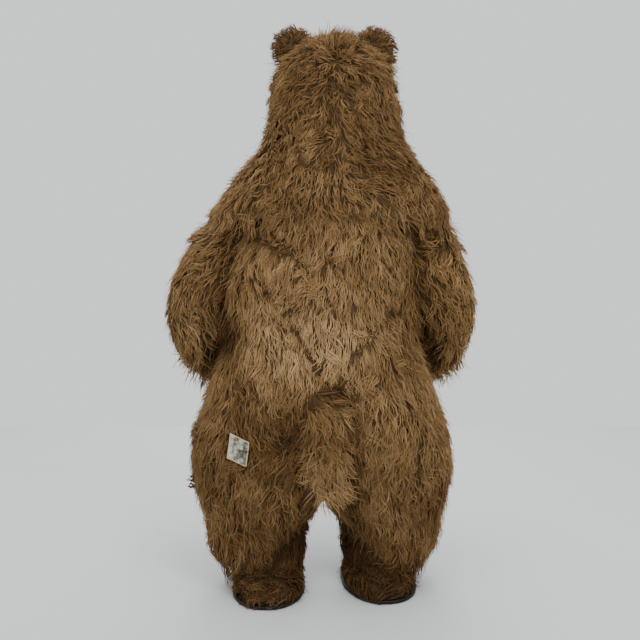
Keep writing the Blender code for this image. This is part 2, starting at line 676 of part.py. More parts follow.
def make_costume():
    trunk_form = closed_form("trunk_form", BODY, HIP_SEAM + SEAM / 2, NECK_TOP, TRUNK_ROWS, TRUNK_COLUMNS)
    panels = []
    cores = []
    for side, hand in ((1, "left"), (-1, "right")):
        panels.extend(make_trunk_and_legs(side, hand))
        cores.append(make_arm(side, hand, trunk_form))
        make_foot(side, hand)
    for n, piece in enumerate(panels):
        cut(piece, cores[n // 2])
    fronts, head_form = make_head()
    make_face(fronts, head_form)
    for side, hand in ((1, "left"), (-1, "right")):
        make_ear(side, hand, head_form)
    make_tail()
    make_label()


make_costume()
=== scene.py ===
"""Looks of the bear mascot costume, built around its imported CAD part.

Each fur wall of the frame is replaced by a thin cloth skin on the wall's own form, some
millimetres inside its outer face, and by locks of long pile that are rooted in that skin and
reach the wall's outer face. Metres, +Z up; the bear faces -Y and its left side is +X.
"""
from collections import namedtuple
import math

import bmesh
import bpy
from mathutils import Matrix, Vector
from mathutils.bvhtree import BVHTree
from mathutils.kdtree import KDTree
import numpy as np


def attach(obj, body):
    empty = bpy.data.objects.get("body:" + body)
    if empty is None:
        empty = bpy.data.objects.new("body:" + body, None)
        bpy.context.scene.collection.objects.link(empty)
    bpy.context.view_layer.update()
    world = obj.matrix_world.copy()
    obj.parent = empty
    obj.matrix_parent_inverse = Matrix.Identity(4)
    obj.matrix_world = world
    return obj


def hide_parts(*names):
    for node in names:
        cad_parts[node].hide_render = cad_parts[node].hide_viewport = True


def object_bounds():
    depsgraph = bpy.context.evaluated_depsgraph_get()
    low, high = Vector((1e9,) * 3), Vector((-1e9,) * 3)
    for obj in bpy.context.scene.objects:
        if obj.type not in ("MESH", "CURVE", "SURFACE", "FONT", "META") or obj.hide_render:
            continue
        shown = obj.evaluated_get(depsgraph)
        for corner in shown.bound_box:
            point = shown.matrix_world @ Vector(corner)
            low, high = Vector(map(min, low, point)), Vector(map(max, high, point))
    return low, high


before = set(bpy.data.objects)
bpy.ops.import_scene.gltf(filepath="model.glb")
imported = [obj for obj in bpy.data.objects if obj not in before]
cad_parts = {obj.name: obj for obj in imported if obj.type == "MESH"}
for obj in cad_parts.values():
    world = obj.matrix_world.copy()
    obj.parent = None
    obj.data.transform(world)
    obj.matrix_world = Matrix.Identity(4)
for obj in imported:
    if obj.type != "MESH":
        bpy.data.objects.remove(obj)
cad_low, cad_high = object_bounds()

FLOOR = cad_low.z
SHOULDER_HEIGHT = 1.43  # of the row's origin above the soles
LEAN = -0.046  # how far the head stands to one side
LEAN_FROM = 1.05
LEAN_TO = 1.50
CAPE_HEM = 1.300
LEG_HEM = 0.095
HEMS = {"head": CAPE_HEM, "leg": LEG_HEM}
TAIL_X = -0.019
TAIL_TOP = 0.750
TAIL_HALF_WIDTH = 0.078
EYE_X = 0.083
EYE_HEIGHT = 1.763
EYE_RADIUS = 0.023
NOSE_PLACE = (LEAN, -0.375, 1.645 - SHOULDER_HEIGHT)
LABEL_X = 0.272
LABEL_HEIGHT = 0.537
LABEL_SIZE = (0.071, 0.084)
LABEL_TILTS = (math.radians(22), math.radians(8))
FLOOR_SIZE = (9.0, 6.6)
DENSITY_SHARE = 0.680  # of every coat's density
MORE_ROOTS = 2.2  # times as many can grow where the pile closes up
LOCKS_IN_TUFT = 7.0
MORE_BEHIND = 0.020  # how far behind a crease more of them grow
SHORT_BEHIND = 0.022  # how far behind a crease they are shorter
TUFT_PULL = 0.66  # how far a lock's tip is pulled to the middle of its tuft

# The camera stands where the photograph's did
CAMERA_PLACE = (0.0, 2.9, -0.28)
CAMERA_PITCH = math.radians(4.07)
CAMERA_LENS = 45.1
CAMERA_SHIFT = -0.0016

# A coat of fur: how long and wide its locks are, how many grow on a square metre, how deep
# under the wall's outer face their skin lies, how far they stand up, how much the direction
# they lie in varies, how light they are from 0 to 1, and the width, length, area and hold of
# the piece as it was cut.
Coat = namedtuple(
    "Coat", "length width density depth stand swirl tone cut area held", defaults=("stretched",)
)
COATS = {
    "body_back": Coat(0.074, 0.0052, 18500, 0.0125, 0.90, 0.28, 0.56, (0.52, 0.88), 0.40, "hung"),
    "body_front": Coat(0.076, 0.0072, 9200, 0.0125, 0.92, 0.26, 0.52, (0.52, 0.88), 0.40, "hung"),
    "leg_back": Coat(0.082, 0.0060, 16000, 0.0125, 1.15, 0.42, 0.44, (0.70, 0.52), 0.32, "hung"),
    "leg_front": Coat(0.082, 0.0076, 9200, 0.0125, 1.10, 0.42, 0.40, (0.68, 0.52), 0.31, "hung"),
    "sleeve_outer": Coat(0.076, 0.0060, 14500, 0.0125, 1.10, 0.38, 0.49, (0.38, 1.02), 0.33, "hung"),
    "sleeve_inner": Coat(0.076, 0.0072, 9000, 0.0125, 1.25, 0.40, 0.46, (0.34, 0.80), 0.205, "hung"),
    "paw_back": Coat(0.050, 0.0064, 11000, 0.0125, 1.00, 0.35, 0.42, (0.22, 0.21), 0.034),
    "paw_palm": Coat(0.042, 0.0064, 10000, 0.0125, 0.90, 0.35, 0.40, (0.21, 0.20), 0.031),
    "foot_upper": Coat(0.052, 0.0060, 14000, 0.0125, 1.00, 0.80, 0.13, (0.86, 0.26), 0.183),
    "head_back": Coat(0.060, 0.0047, 21000, 0.0125, 1.10, 0.44, 0.45, (0.60, 0.60), 0.24),
    "head_front": Coat(0.056, 0.0066, 11500, 0.0125, 0.95, 0.30, 0.46, (0.60, 0.60), 0.23),
    "crown": Coat(0.042, 0.0043, 25000, 0.0125, 1.40, 0.80, 0.42, (0.42, 0.42), 0.125),
    "ear_back": Coat(0.036, 0.0031, 42000, 0.0080, 1.35, 0.45, 0.36, (0.15, 0.15), 0.0145),
    "ear_front": Coat(0.032, 0.0036, 30000, 0.0050, 1.30, 0.40, 0.32, (0.13, 0.13), 0.009),
    "muzzle_upper": Coat(0.028, 0.0050, 24000, 0.0060, 0.75, 0.22, 0.56, (0.27, 0.20), 0.039),
    "muzzle_lower": Coat(0.028, 0.0050, 22000, 0.0060, 0.75, 0.22, 0.50, (0.27, 0.20), 0.039),
    "tail": Coat(0.070, 0.0056, 25000, 0.0110, 1.10, 0.50, 0.49, (0.17, 0.38), 0.052),
}
SKIN_THICKNESS = 0.003
PROUD = (0.036, 0.029, 0.060)  # how far the pile may stand out of the costume's box
WALL_LEFT = 0.0145  # how deep the skin's outer face may lie in an 18 mm wall

SHARP_FOLD = math.radians(62)  # between a wall's outer side and its rim
FACING_OUT = 0.12  # cosine of the angle at which a face still counts as facing outwards

TONES = 16  # levels of lightness, and as many kinds of lock for each
MARGIN = 0.1  # of a lock's place on its map
RINGS = (0.0, 0.38, 0.72, 1.0)  # places along a lock; the last is its tip
RING_WIDTHS = (0.72, 1.0, 0.66)
RING_HEIGHTS = (0.0, 0.86, 1.06, 1.12)  # of a lock above its skin, in coat depths
WAVE = np.array((0.0, 0.0030, -0.0032, 0.0040))  # how far a lock bends aside at each ring
WAVE_LENGTH = 0.07  # of a lock with bends of that size
LOOSE_SHARE = 0.34  # of the locks are thin, stand up more and keep out of the tufts
LOOSE_STAND = 1.70
LOOSE_WIDTH = 0.48
STAND_MOST = 2.3
WISP_SHARE = 0.10  # of the locks are single hairs that stand right out
WISP_STAND = 3.2
WISP_WIDTH = 0.38
STRAY_SHARE = 0.09  # of the tufts stand out and point another way
STRAY_STAND = 1.9

# Middle line of the left arm, from the shoulder to the paw's tip
ARM_LINE = np.array((
    (0.060, 0.000, 1.290), (0.315, 0.003, 1.241), (0.390, 0.010, 1.140), (0.432, 0.022, 1.040),
    (0.446, 0.004, 0.955), (0.442, -0.062, 0.890), (0.424, -0.165, 0.838), (0.362, -0.280, 0.797),
    (0.270, -0.347, 0.781), (0.200, -0.372, 0.772), (0.120, -0.385, 0.764), (0.035, -0.387, 0.755),
))

# Middle of each ankle and of each foot's rear part, for the left side and the right
FEET = {1.0: ((0.214, 0.070), (0.184, 0.130)), -1.0: ((-0.236, 0.025), (-0.207, 0.083))}

# Creases where the pile parts: from and to across and up the costume, depth and half width
CREASES = {
    "body_back": (
        (0.191, 1.278, 0.086, 1.166, 0.009, 0.009), (0.086, 1.166, 0.023, 1.110, 0.009, 0.010),
        (0.224, 1.245, 0.118, 1.176, 0.008, 0.009), (0.130, 0.980, 0.098, 0.998, 0.010, 0.009),
        (0.098, 0.998, 0.056, 0.990, 0.010, 0.009), (0.112, 0.942, 0.070, 0.924, 0.011, 0.009),
        (0.082, 0.928, 0.043, 0.850, 0.012, 0.010), (0.043, 0.850, 0.004, 0.790, 0.013, 0.010),
        (0.148, 0.959, 0.120, 0.880, 0.006, 0.008), (-0.178, 0.926, -0.112, 0.847, 0.007, 0.010),
        (-0.020, 1.180, -0.062, 1.130, 0.006, 0.008), (0.160, 1.046, 0.188, 1.054, 0.013, 0.011),
        (-0.222, 0.976, -0.256, 0.986, 0.016, 0.012), (-0.006, 0.752, -0.004, 0.820, 0.007, 0.006),
        (0.149, 0.586, 0.089, 0.588, 0.004, 0.004), (0.149, 0.572, 0.089, 0.574, 0.016, 0.010),
    ),
    "leg_back": (
        (0.149, 0.572, 0.089, 0.574, 0.016, 0.009), (-0.227, 0.591, -0.247, 0.600, 0.009, 0.008),
        (0.175, 0.108, 0.225, 0.104, 0.008, 0.009), (-0.190, 0.118, -0.232, 0.108, 0.008, 0.009),
    ),
    "body_front": (
        (0.150, 1.150, 0.088, 1.112, 0.009, 0.009), (0.088, 1.112, 0.040, 1.118, 0.008, 0.009),
        (-0.172, 1.085, -0.104, 1.058, 0.010, 0.010), (-0.060, 0.968, 0.064, 0.956, 0.009, 0.009),
        (0.186, 0.700, 0.120, 0.668, 0.010, 0.010), (-0.142, 0.664, -0.060, 0.642, 0.008, 0.009),
    ),
    "leg_front": (
        (0.150, 0.330, 0.205, 0.322, 0.008, 0.009), (-0.168, 0.412, -0.228, 0.404, 0.009, 0.009),
    ),
    "sleeve_outer": (
        (-0.350, 1.216, -0.436, 1.206, 0.012, 0.011), (0.288, 1.126, 0.304, 1.064, 0.014, 0.010),
    ),
    "head_back": (
        (-0.034, 1.800, -0.032, 1.500, 0.013, 0.007), (-0.032, 1.500, -0.026, 1.345, 0.007, 0.006),
        (0.075, 1.500, 0.045, 1.470, 0.007, 0.010), (-0.010, 1.565, 0.012, 1.555, 0.007, 0.008),
        (-0.150, 1.560, -0.120, 1.500, 0.007, 0.012),
    ),
}


def line_creases(corners, depth, half_width):
    """One crease from each corner to the next."""
    return tuple((*start, *end, depth, half_width) for start, end in zip(corners, corners[1:]))


def round_creases(x, height, radius, last_turn, depth, half_width):
    """Creases round a circle, from its right to an angle in degrees."""
    turns = np.radians(np.linspace(0, last_turn, 10))
    corners = np.stack((x + radius * np.cos(turns), height + radius * np.sin(turns)), 1)
    return line_creases(corners.tolist(), depth, half_width)


# The trunk's pile hangs over the tail's top and ends there, and the face's parts round the eyes
CREASES["body_back"] += round_creases(
    TAIL_X, TAIL_TOP - TAIL_HALF_WIDTH, TAIL_HALF_WIDTH - 0.014, 180, 0.004, 0.005
)
CREASES["head_front"] = ()
for eye_x in (LEAN + EYE_X, LEAN - EYE_X):
    CREASES["head_front"] += round_creases(eye_x, EYE_HEIGHT, EYE_RADIUS, 360, 0.001, 0.004)

# Across and up: the line below which the inner side of each ankle shows the boot, not the leg
BOOT_LINE = ((0.055, 0.100, 0.145, 0.172, 0.190), (0.240, 0.214, 0.180, 0.144, 0.098))
for turned in (1.0, -1.0):
    corners = [(turned * across, height) for across, height in zip(*BOOT_LINE)]
    CREASES["leg_back"] += line_creases(corners, 0.010, 0.009)

rng = np.random.default_rng(2231)


def smooth(share):
    share = np.clip(share, 0.0, 1.0)
    return share * share * (3.0 - 2.0 * share)


def rise(values, start, span):
    """0 up to start, then smoothly up to 1 within span."""
    return smooth((values - start) / span)


def fall(values, end, span):
    """1 at first, then smoothly down within span, to 0 from end on."""
    return smooth((end - values) / span)


def bell(across, up=0.0):
    """1 at nought, falling off to 0 on all sides, along one axis or two."""
    return np.exp(-(across**2) - up**2)


def lean(height):
    return LEAN * rise(height, LEAN_FROM, LEAN_TO - LEAN_FROM)


def unit(vectors):
    return vectors / np.maximum(np.linalg.norm(vectors, axis=-1, keepdims=True), 1e-9)


def laid(directions, normals):
    """Directions pressed flat onto a surface."""
    return unit(directions - (directions * normals).sum(-1, keepdims=True) * normals)


def ripple(points, seed, size, waves=7):
    """A smooth irregular number for each point, mostly from -1 to 1, that changes over size."""
    own = np.random.default_rng(seed)
    directions = unit(own.normal(size=(waves, 3))) * own.uniform(0.6, 1.7, (waves, 1)) * 2 * np.pi / size
    phases = own.uniform(0, 2 * np.pi, waves)
    return np.sin(points @ directions.T + phases).sum(1) / math.sqrt(waves)


# ---- the walls' outer sides


def nearest_on_line(point, line):
    """The nearest point of a line of several stretches."""
    places = []
    for start, end in zip(line, line[1:]):
        along = end - start
        share = min(max((point - start).dot(along) / along.length_squared, 0.0), 1.0)
        places.append(start + share * along)
    return min(places, key=lambda place: (point - place).length)


def core_line(node):
    """The line that a hollow wall stands round, or None for a flat piece."""
    side = -1.0 if node.endswith("_right") else 1.0
    (ankle_x, ankle_y), (heel_x, heel_y) = FEET[side]
    arm = [(side * x + lean(height), y, height) for x, y, height in ARM_LINE]
    head = ((0.0, 0.0, 1.2), (LEAN, 0.0, 1.45), (LEAN, 0.0, 1.84))
    cores = {
        "sleeve": arm,
        "paw": arm,
        "body": ((0.0, 0.0, 0.5), (0.0, 0.0, 1.2)),
        "leg": ((side * 0.214, 0.06, 0.08), (side * 0.15, 0.02, 0.62)),
        "foot": ((ankle_x, ankle_y, 0.25), (heel_x, heel_y, 0.045), (heel_x, heel_y - 0.12, 0.040)),
        "head": head,
        "crown": head,
        "muzzle": ((LEAN, -0.05, 1.64), (LEAN, -0.32, 1.62)),
        "ear_back": ((LEAN + side * 0.13, 0.0, 1.89), (LEAN + side * 0.141, 0.0, 1.902)),
    }
    for name, corners in cores.items():
        if node.startswith(name):
            return [Vector((x, y, height - SHOULDER_HEIGHT)) for x, y, height in corners]
    return None


def largest_smooth_part(faces):
    """The largest group of faces with no sharp edge between them."""
    left = set(faces)
    best, best_area = [], 0.0
    for first in faces:
        if first not in left:
            continue
        left.remove(first)
        part, waiting = [], [first]
        while waiting:
            face = waiting.pop()
            part.append(face)
            for edge in face.edges:
                if len(edge.link_faces) != 2 or edge.calc_face_angle(3.0) > SHARP_FOLD:
                    continue
                for other in edge.link_faces:
                    if other in left:
                        left.remove(other)
                        waiting.append(other)
        area = sum(face.calc_area() for face in part)
        if area > best_area:
            best, best_area = part, area
    return best


def outer_side(node):
    """A wall's outer side as an open mesh: the largest smooth part of what faces outwards."""
    builder = opened(node)
    bmesh.ops.recalc_face_normals(builder, faces=builder.faces)
    if builder.calc_volume(signed=True) < 0:
        bmesh.ops.reverse_faces(builder, faces=builder.faces)
    core = core_line(node)
    flat_way = Vector((0.0, -1.0 if node.startswith("ear") else 1.0, 0.0))
    outward = []
    for face in builder.faces:
        centre = face.calc_center_median()
        way = (centre - nearest_on_line(centre, core)).normalized() if core else flat_way
        if face.normal.dot(way) > FACING_OUT:
            outward.append(face)
    kept = set(largest_smooth_part(outward))
    rest = [face for face in builder.faces if face not in kept]
    bmesh.ops.delete(builder, geom=rest, context="FACES")
    bmesh.ops.join_triangles(
        builder, faces=builder.faces, angle_face_threshold=0.6, angle_shape_threshold=1.2
    )
    return closed(builder, node + "_side")


def opened(node):
    """A CAD solid to work on, with its doubled corners joined."""
    builder = bmesh.new()
    builder.from_mesh(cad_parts[node].data)
    bmesh.ops.remove_doubles(builder, verts=builder.verts, dist=0.00002)
    return builder


def closed(builder, name):
    """The mesh of what was worked on."""
    mesh = bpy.data.meshes.new(name)
    builder.to_mesh(mesh)
    builder.free()
    return mesh


def move(mesh, places):
    mesh.vertices.foreach_set("co", places.ravel())
    mesh.update()


def give_tone(mesh, tone):
    layer = mesh.attributes.new("tone", "FLOAT", "POINT")
    layer.data.foreach_set("value", tone.astype(np.float32))


def shade_round(mesh):
    """Smooth shading but for the edges sharper than 50 degrees."""
    mesh.shade_smooth()
    mesh.set_sharp_from_angle(angle=math.radians(50))


def add(name, data):
    made = bpy.data.objects.new(name, data)
    bpy.context.scene.collection.objects.link(made)
    return made


def modified(made, kind, **settings):
    """The object with a modifier taken into its mesh."""
    modifier = made.modifiers.new(kind, kind)
    for name, value in settings.items():
        setattr(modifier, name, value)
    graph = bpy.context.evaluated_depsgraph_get()
    mesh = bpy.data.meshes.new_from_object(made.evaluated_get(graph))
    made.modifiers.clear()
    made.data = mesh
    return made


def corners_of(mesh):
    """The places of a mesh's corners, and its normals there."""
    found = []
    for vectors, name in ((mesh.vertices, "co"), (mesh.vertex_normals, "vector")):
        values = np.empty(len(vectors) * 3)
        vectors.foreach_get(name, values)
        found.append(values.reshape(-1, 3))
    return found


def away_from(points, start, end):
    """How far each point is from a straight stretch."""
    along = end - start
    share = np.clip(((points - start) @ along) / (along @ along), 0, 1)
    return np.linalg.norm(points - start - share[:, None] * along, axis=1)


def crease_depth(points, kind):
    """How deep creases press the pile in at each point."""
    pressed = np.zeros(len(points))
    here, uneven = np.stack(placed(points), 1), 0.3 * ripple(points, 71, 0.05)
    for *ends, depth, half_width in CREASES.get(kind, ()):
        away = away_from(here, *np.reshape(ends, (2, 2))) / half_width
        pressed = np.maximum(pressed, depth * bell(away + uneven))
    return pressed


def across_each_other(a, b):
    """The cross product of ways in a plane."""
    return a[..., 0] * b[..., 1] - a[..., 1] * b[..., 0]


def before_crease(kind, points, ways, lengths):
    """How much of each lock's length lies before the first crease that it would cross."""
    share = np.ones(len(points))
    start = np.stack(placed(points), 1)
    reach = (ways * np.reshape(lengths, (-1, 1)))[:, (0, 2)]
    for *ends, _, _ in CREASES.get(kind, ()):
        first, last = np.reshape(ends, (2, 2))
        ahead, along = first - start, last - first
        turn = across_each_other(reach, along)
        turn = np.where(np.abs(turn) < 1e-9, 1e-9, turn)
        on_lock = across_each_other(ahead, along) / turn
        on_crease = across_each_other(ahead, reach) / turn
        crosses = (on_lock > 0) & (on_lock < share) & (on_crease > 0) & (on_crease < 1)
        share = np.where(crosses, on_lock, share)
    return share


def placed(points):
    """Each point's place across the costume, and its height above the soles."""
    return points[:, 0], points[:, 2] + SHOULDER_HEIGHT


def only_on(*kinds):
    """Make a measure, from 0 to 1, of some kinds of piece 0 on all the others."""

    def limit(measure):
        def limited(kind, points):
            return measure(*placed(points)) if kind.startswith(kinds) else np.zeros(len(points))

        return limited

    return limit


def hem_drop(kind, points, low, high):
    """How far a hem falls in, from nothing at low above it to high below it."""
    hem = HEMS.get(kind.split("_")[0])
    if hem is None:
        return np.zeros(len(points))
    return high * fall(placed(points)[1], hem + low, low + 0.03)


def label_place(x, height):
    """A place on the label, -0.5 to 0.5 across and up it."""
    x, height = x - LABEL_X, height - LABEL_HEIGHT
    (tilt, side_tilt), (width, length) = LABEL_TILTS, LABEL_SIZE
    scale = math.cos(tilt) * math.cos(side_tilt) + math.sin(tilt) * math.sin(side_tilt)
    across = (x * math.cos(side_tilt) + height * math.sin(side_tilt)) / scale / width
    up = (height * math.cos(tilt) - x * math.sin(tilt)) / scale / length
    return across, up


@only_on("leg_back", "body_back")
def under_label(x, height):
    """How far the label presses the pile down."""
    out = np.max(np.abs(label_place(x, height)), axis=0) - 0.5
    return 0.010 * smooth(1.0 - out / 0.12)


def tail_edge(x, height):
    """How far outside the tail's outline each point lies; negative inside it."""
    above = np.maximum(height - (TAIL_TOP - TAIL_HALF_WIDTH), 0.0)
    return np.hypot(x - TAIL_X, above) - TAIL_HALF_WIDTH


@only_on("body")
def reaching_trunk(x, height):
    beside = rise(np.abs(x - lean(height)), 0.22, 0.07)
    return beside * rise(height, 0.84, 0.08) * fall(height, CAPE_HEM, 0.06)


@only_on("sleeve")
def reaching_sleeve(x, height):
    return fall(np.abs(x - lean(height)), 0.42, 0.08) * rise(height, 0.88, 0.08)


def reaching(kind, points):
    """Where the pile stands out to cover the fold between the trunk and a sleeve."""
    return reaching_trunk(kind, points) + reaching_sleeve(kind, points)


@only_on("body_back")
def flat_lit_back(x, height):
    """Where the pile on the small of the back lies flatter, and where a pool of light is painted paler on
    it.
    """
    return bell((x - 0.02) / 0.17, (height - 0.91) / 0.13)


@only_on("head_back", "crown")
def whorl(x, height):
    """Where the pile turns every way, at the top of the head's parting."""
    return bell((x - LEAN) / 0.055, (height - 1.84) / 0.06)


@only_on("head", "crown")
def ear_foot(x, height):
    """Where the head's pile closes up at the ears and along its side seams."""
    across = np.abs(x - lean(height))
    beside = bell((across - 0.160) / 0.032, (height - 1.86) / 0.035)
    return np.maximum(beside, 0.4 * rise(across, 0.165, 0.02) * rise(height, 1.6, 0.1))


def round_nose(kind, points):
    """Where the muzzle's short pile closes up round the nose."""
    away = np.linalg.norm(points - NOSE_PLACE, axis=1)
    return fall(away, 0.075, 0.03) * kind.startswith("muzzle")


@only_on("head_front")
def under_eye(x, height):
    """1 where a point lies under an eye, where no pile grows, or 0."""
    return np.hypot(np.abs(x - LEAN) - EYE_X, height - EYE_HEIGHT) < EYE_RADIUS


def muzzle_foot(kind, points):
    """Where the pile closes up along the muzzle's seam."""
    if kind == "head_front":
        x, height = placed(points)
        ring = np.hypot((x - LEAN) / 0.105, (height - 1.635) / 0.085)
        return fall(ring, 1.55, 0.30) * (points[:, 1] < -0.12)
    return rise(points[:, 1], -0.240, 0.025) * kind.startswith("muzzle")


@only_on("leg")
def boot(x, height):
    """Where the leg ends and shows the boot inside it."""
    return fall(height, np.interp(np.abs(x), *BOOT_LINE), 0.015)


@only_on("leg")
def shaded_ankle_hollow(x, height):
    """The hollow under the leg's edge, inside each ankle, where the pile sinks in and painted shadow
    darkens it.
    """
    across = np.abs(x)
    under = np.interp(across, *BOOT_LINE) - height
    return rise(across, 0.07, 0.025) * fall(across, 0.185, 0.03) * bell((under - 0.016) / 0.020)


@only_on("body_back", "sleeve")
def arm_pocket_shade(x, height):
    """Where shade is painted into the pocket between each forearm and the trunk."""
    middle = np.where(x > 0.0, 0.338, 0.385) - 0.45 * (height - 0.89)
    return bell((np.abs(x) - middle) / 0.048, (height - 0.895) / 0.085)


@only_on("sleeve")
def below_cape(x, height):
    """Where a sleeve fills out below the cape's hem."""
    return fall(height, CAPE_HEM + 0.005, 0.02) * rise(height - CAPE_HEM, -0.13, 0.11)


def standing(kind, points, normals):
    """How much more than elsewhere the pile stands up at each point."""
    x, height = placed(points)
    across = np.abs(x - lean(height))
    more = 1.0 + 0.6 * reaching(kind, points) - 0.35 * flat_lit_back(kind, points) - 0.3 * boot(kind, points)
    if kind.startswith("sleeve"):
        more += 0.3 * below_cape(kind, points)
        hanging = fall(height, 0.90, 0.06) * rise(across, 0.22, 0.08)
        more += 1.9 * hanging * np.clip(-normals[:, 2], 0.0, 1.0)
    more += 1.0 * ear_foot(kind, points) * rise(height, 1.78, 0.04)
    more += 0.8 * whorl(kind, points) + 0.3 * round_nose(kind, points)
    if kind == "crown":
        more += 0.6 * bell(across / 0.05) - 0.35 * rise(across, 0.05, 0.05)
    return more


def filled(kind, points):
    """Where the skin lies nearer to the wall's outer face, 0 to 1."""
    places = (below_cape, reaching, round_nose, muzzle_foot)
    return np.max([place(kind, points) for place in places], axis=0)


def family(node):
    for name in ("_left", "_right"):
        node = node.removesuffix(name)
    return node


def make_skin(node):
    """The thin woven backing under a wall's pile."""
    kind = family(node)
    coat = COATS[kind]
    made = add("skin_" + node, outer_side(node))
    made = modified(made, "SUBSURF", levels=1, boundary_smooth="PRESERVE_CORNERS")
    places, outward = corners_of(made.data)
    sag = 0.0022 * ripple(places, 5, 0.16) * min(1.0, coat.depth / 0.0125)
    depth = coat.depth * (1.0 - 0.7 * filled(kind, places)) - sag
    depth += crease_depth(places, kind) * 0.5
    depth = np.minimum(depth + hem_drop(kind, places, 0.045, 0.004), WALL_LEFT)
    places = places - outward * depth[:, None]
    move(made.data, places)
    # The skin's tone, darkened with painted shade in the creases, in the pockets between forearms and
    # trunk, and along the tail's outline.
    tone = 0.62 + 0.6 * (coat.tone - 0.45) - 26.0 * crease_depth(places, kind)
    tone -= 0.4 * arm_pocket_shade(kind, places)
    if kind in ("body_back", "leg_back"):
        tone -= 0.5 * smooth(1.0 - np.abs(tail_edge(*placed(places))) / 0.03)
    give_tone(made.data, tone)
    return made


# ---- how the fur lies


def along_arm(points):
    """The direction towards the paw at each point of an arm."""
    x, height = placed(points)
    side = np.where(x > -0.02, 1.0, -1.0)
    here = np.stack(((x - lean(height)) * side, points[:, 1], height), 1)
    away = [away_from(here, start, end) for start, end in zip(ARM_LINE, ARM_LINE[1:])]
    found = unit(np.diff(ARM_LINE, axis=0))[np.argmin(away, axis=0)]
    found[:, 0] *= side
    return found


def grain(kind, points, normals):
    """The direction that the pile is brushed in at each point."""
    x, height = placed(points)
    across = x - lean(height)
    reach = reaching(kind, points)
    down = np.zeros_like(points)
    down[:, 2] = -1.0
    way = down.copy()
    if kind.startswith("body"):
        way[:, 0] = 0.5 * across * rise(height, 0.7, 0.5)
        way[:, 0] += np.sign(across) * 0.5 * reach
        way[:, 1] += np.sign(points[:, 1]) * 1.2 * reach
    elif kind.startswith("leg"):
        way[:, 0] = 0.35 * across
    if kind in ("body_back", "leg_back"):
        beside = smooth(1.0 - tail_edge(x, height) / 0.05)
        way[:, 0] += np.sign(x - TAIL_X) * 0.7 * beside * fall(height, 0.80, 0.05)
    if kind.startswith(("sleeve", "paw")):
        way = along_arm(points) + 0.45 * down
        way[:, 0] -= np.sign(across) * 0.3 * reach
        way[:, 1] += np.sign(points[:, 1]) * 1.2 * reach
    elif kind == "head_back":
        spread = np.sign(across) * (0.30 + 0.70 * rise(np.abs(across), 0.0, 0.09))
        way[:, 0] = spread * (0.30 + 0.75 * rise(height, 1.45, 0.2))
        way[:, 1] = 0.25
        way[:, 2] = -1.0 + 0.8 * rise(height, 1.79, 0.09) * bell(across / 0.06)
    elif kind == "head_front":
        way[:, 0] = across * 6.0
        way[:, 1] = 0.5
        way[:, 2] = np.clip((height - 1.63) * 12.0, -1.0, 0.8)
    elif kind == "crown":
        way[:, 0] = np.clip(across * 10.0, -0.8, 0.8)
        way[:, 1] = -0.30
        way[:, 2] = 1.5 * bell(across / 0.05) - 0.6
    elif kind.startswith("ear"):
        way[:, 0] = across - np.sign(across) * 0.132
        way[:, 2] = height - 1.905
        way = unit(way)
    elif kind.startswith("muzzle"):
        way[:, 0] = across * 3.0
        way[:, 1] = 1.0
        way[:, 2] = -0.25
    elif kind == "foot_upper":
        left, right = FEET[1.0][1], FEET[-1.0][1]
        way[:, :2] = points[:, :2] - (np.where(points[:, :1] > 0, left, right) - (0.0, 0.03))
        way[:, 2] = -0.09
        way = unit(way)
    elif kind == "tail":
        spread = 5.0 * rise(height, 0.58, 0.12) + 2.5 * fall(height, 0.50, 0.06)
        way[:, 0] = (x - TAIL_X) * spread
    return laid(way, normals)


def lightness(kind, points, coat):
    """The pile's tone: a painted pool of light on the small of the back, painted shade in hollows and
    folds and round the tail, and darker low down.
    """
    x, height = placed(points)
    tone = coat.tone + 0.06 * ripple(points, 31, 0.35) + 0.05 * ripple(points, 33, 0.12)
    # painted shade in the fold between the trunk and each sleeve
    tone -= 0.08 * reaching(kind, points) ** 2
    # a painted pool of light on the small of the back
    tone += 0.36 * flat_lit_back(kind, points)
    # painted shadow in the hollow inside each ankle
    tone -= 0.15 * boot(kind, points) + 0.60 * shaded_ankle_hollow(kind, points)
    # painted shade in the pocket between each forearm and the trunk
    tone -= 0.56 * arm_pocket_shade(kind, points)
    if kind == "body_back":
        tone -= 0.08 * fall(height, 0.80, 0.15)
        tone -= 0.04 * rise(height, 1.2, 0.1)
    if kind.startswith("leg"):
        # painted shade low on the legs; the left leg a little darker
        tone -= 0.13 * fall(height, 0.42, 0.3)
        tone -= 0.05 * rise(x, 0.0, 0.1)
    if kind in ("body_back", "leg_back"):
        # painted shadow round the tail's outline, and two darker patches by the seat
        tone -= 0.24 * bell(tail_edge(x, height) / 0.022)
        tone -= 0.12 * bell((x - 0.10) / 0.07, (height - 0.60) / 0.05)
        tone -= 0.12 * bell((x - 0.23) / 0.14, (height - 0.65) / 0.11)
    if kind == "tail":
        # The tail is darker inside its outline and paler low down, with painted shade on its upper part
        # and along its top, under the trunk's overhanging pile.
        inside = smooth(1.0 + tail_edge(x, height) / 0.022)
        tone -= 0.04 + 0.26 * inside + 0.10 * rise(height, 0.66, 0.05)
        tone += 0.14 * fall(height, 0.62, 0.12) - 0.24 * rise(height, 0.700, 0.03)
    if kind == "ear_back":
        # The ears' backs are darker, with painted shade towards their feet.
        tone -= 0.13 + 0.10 * fall(height, 1.90, 0.05)
    return tone


# ---- locks of pile


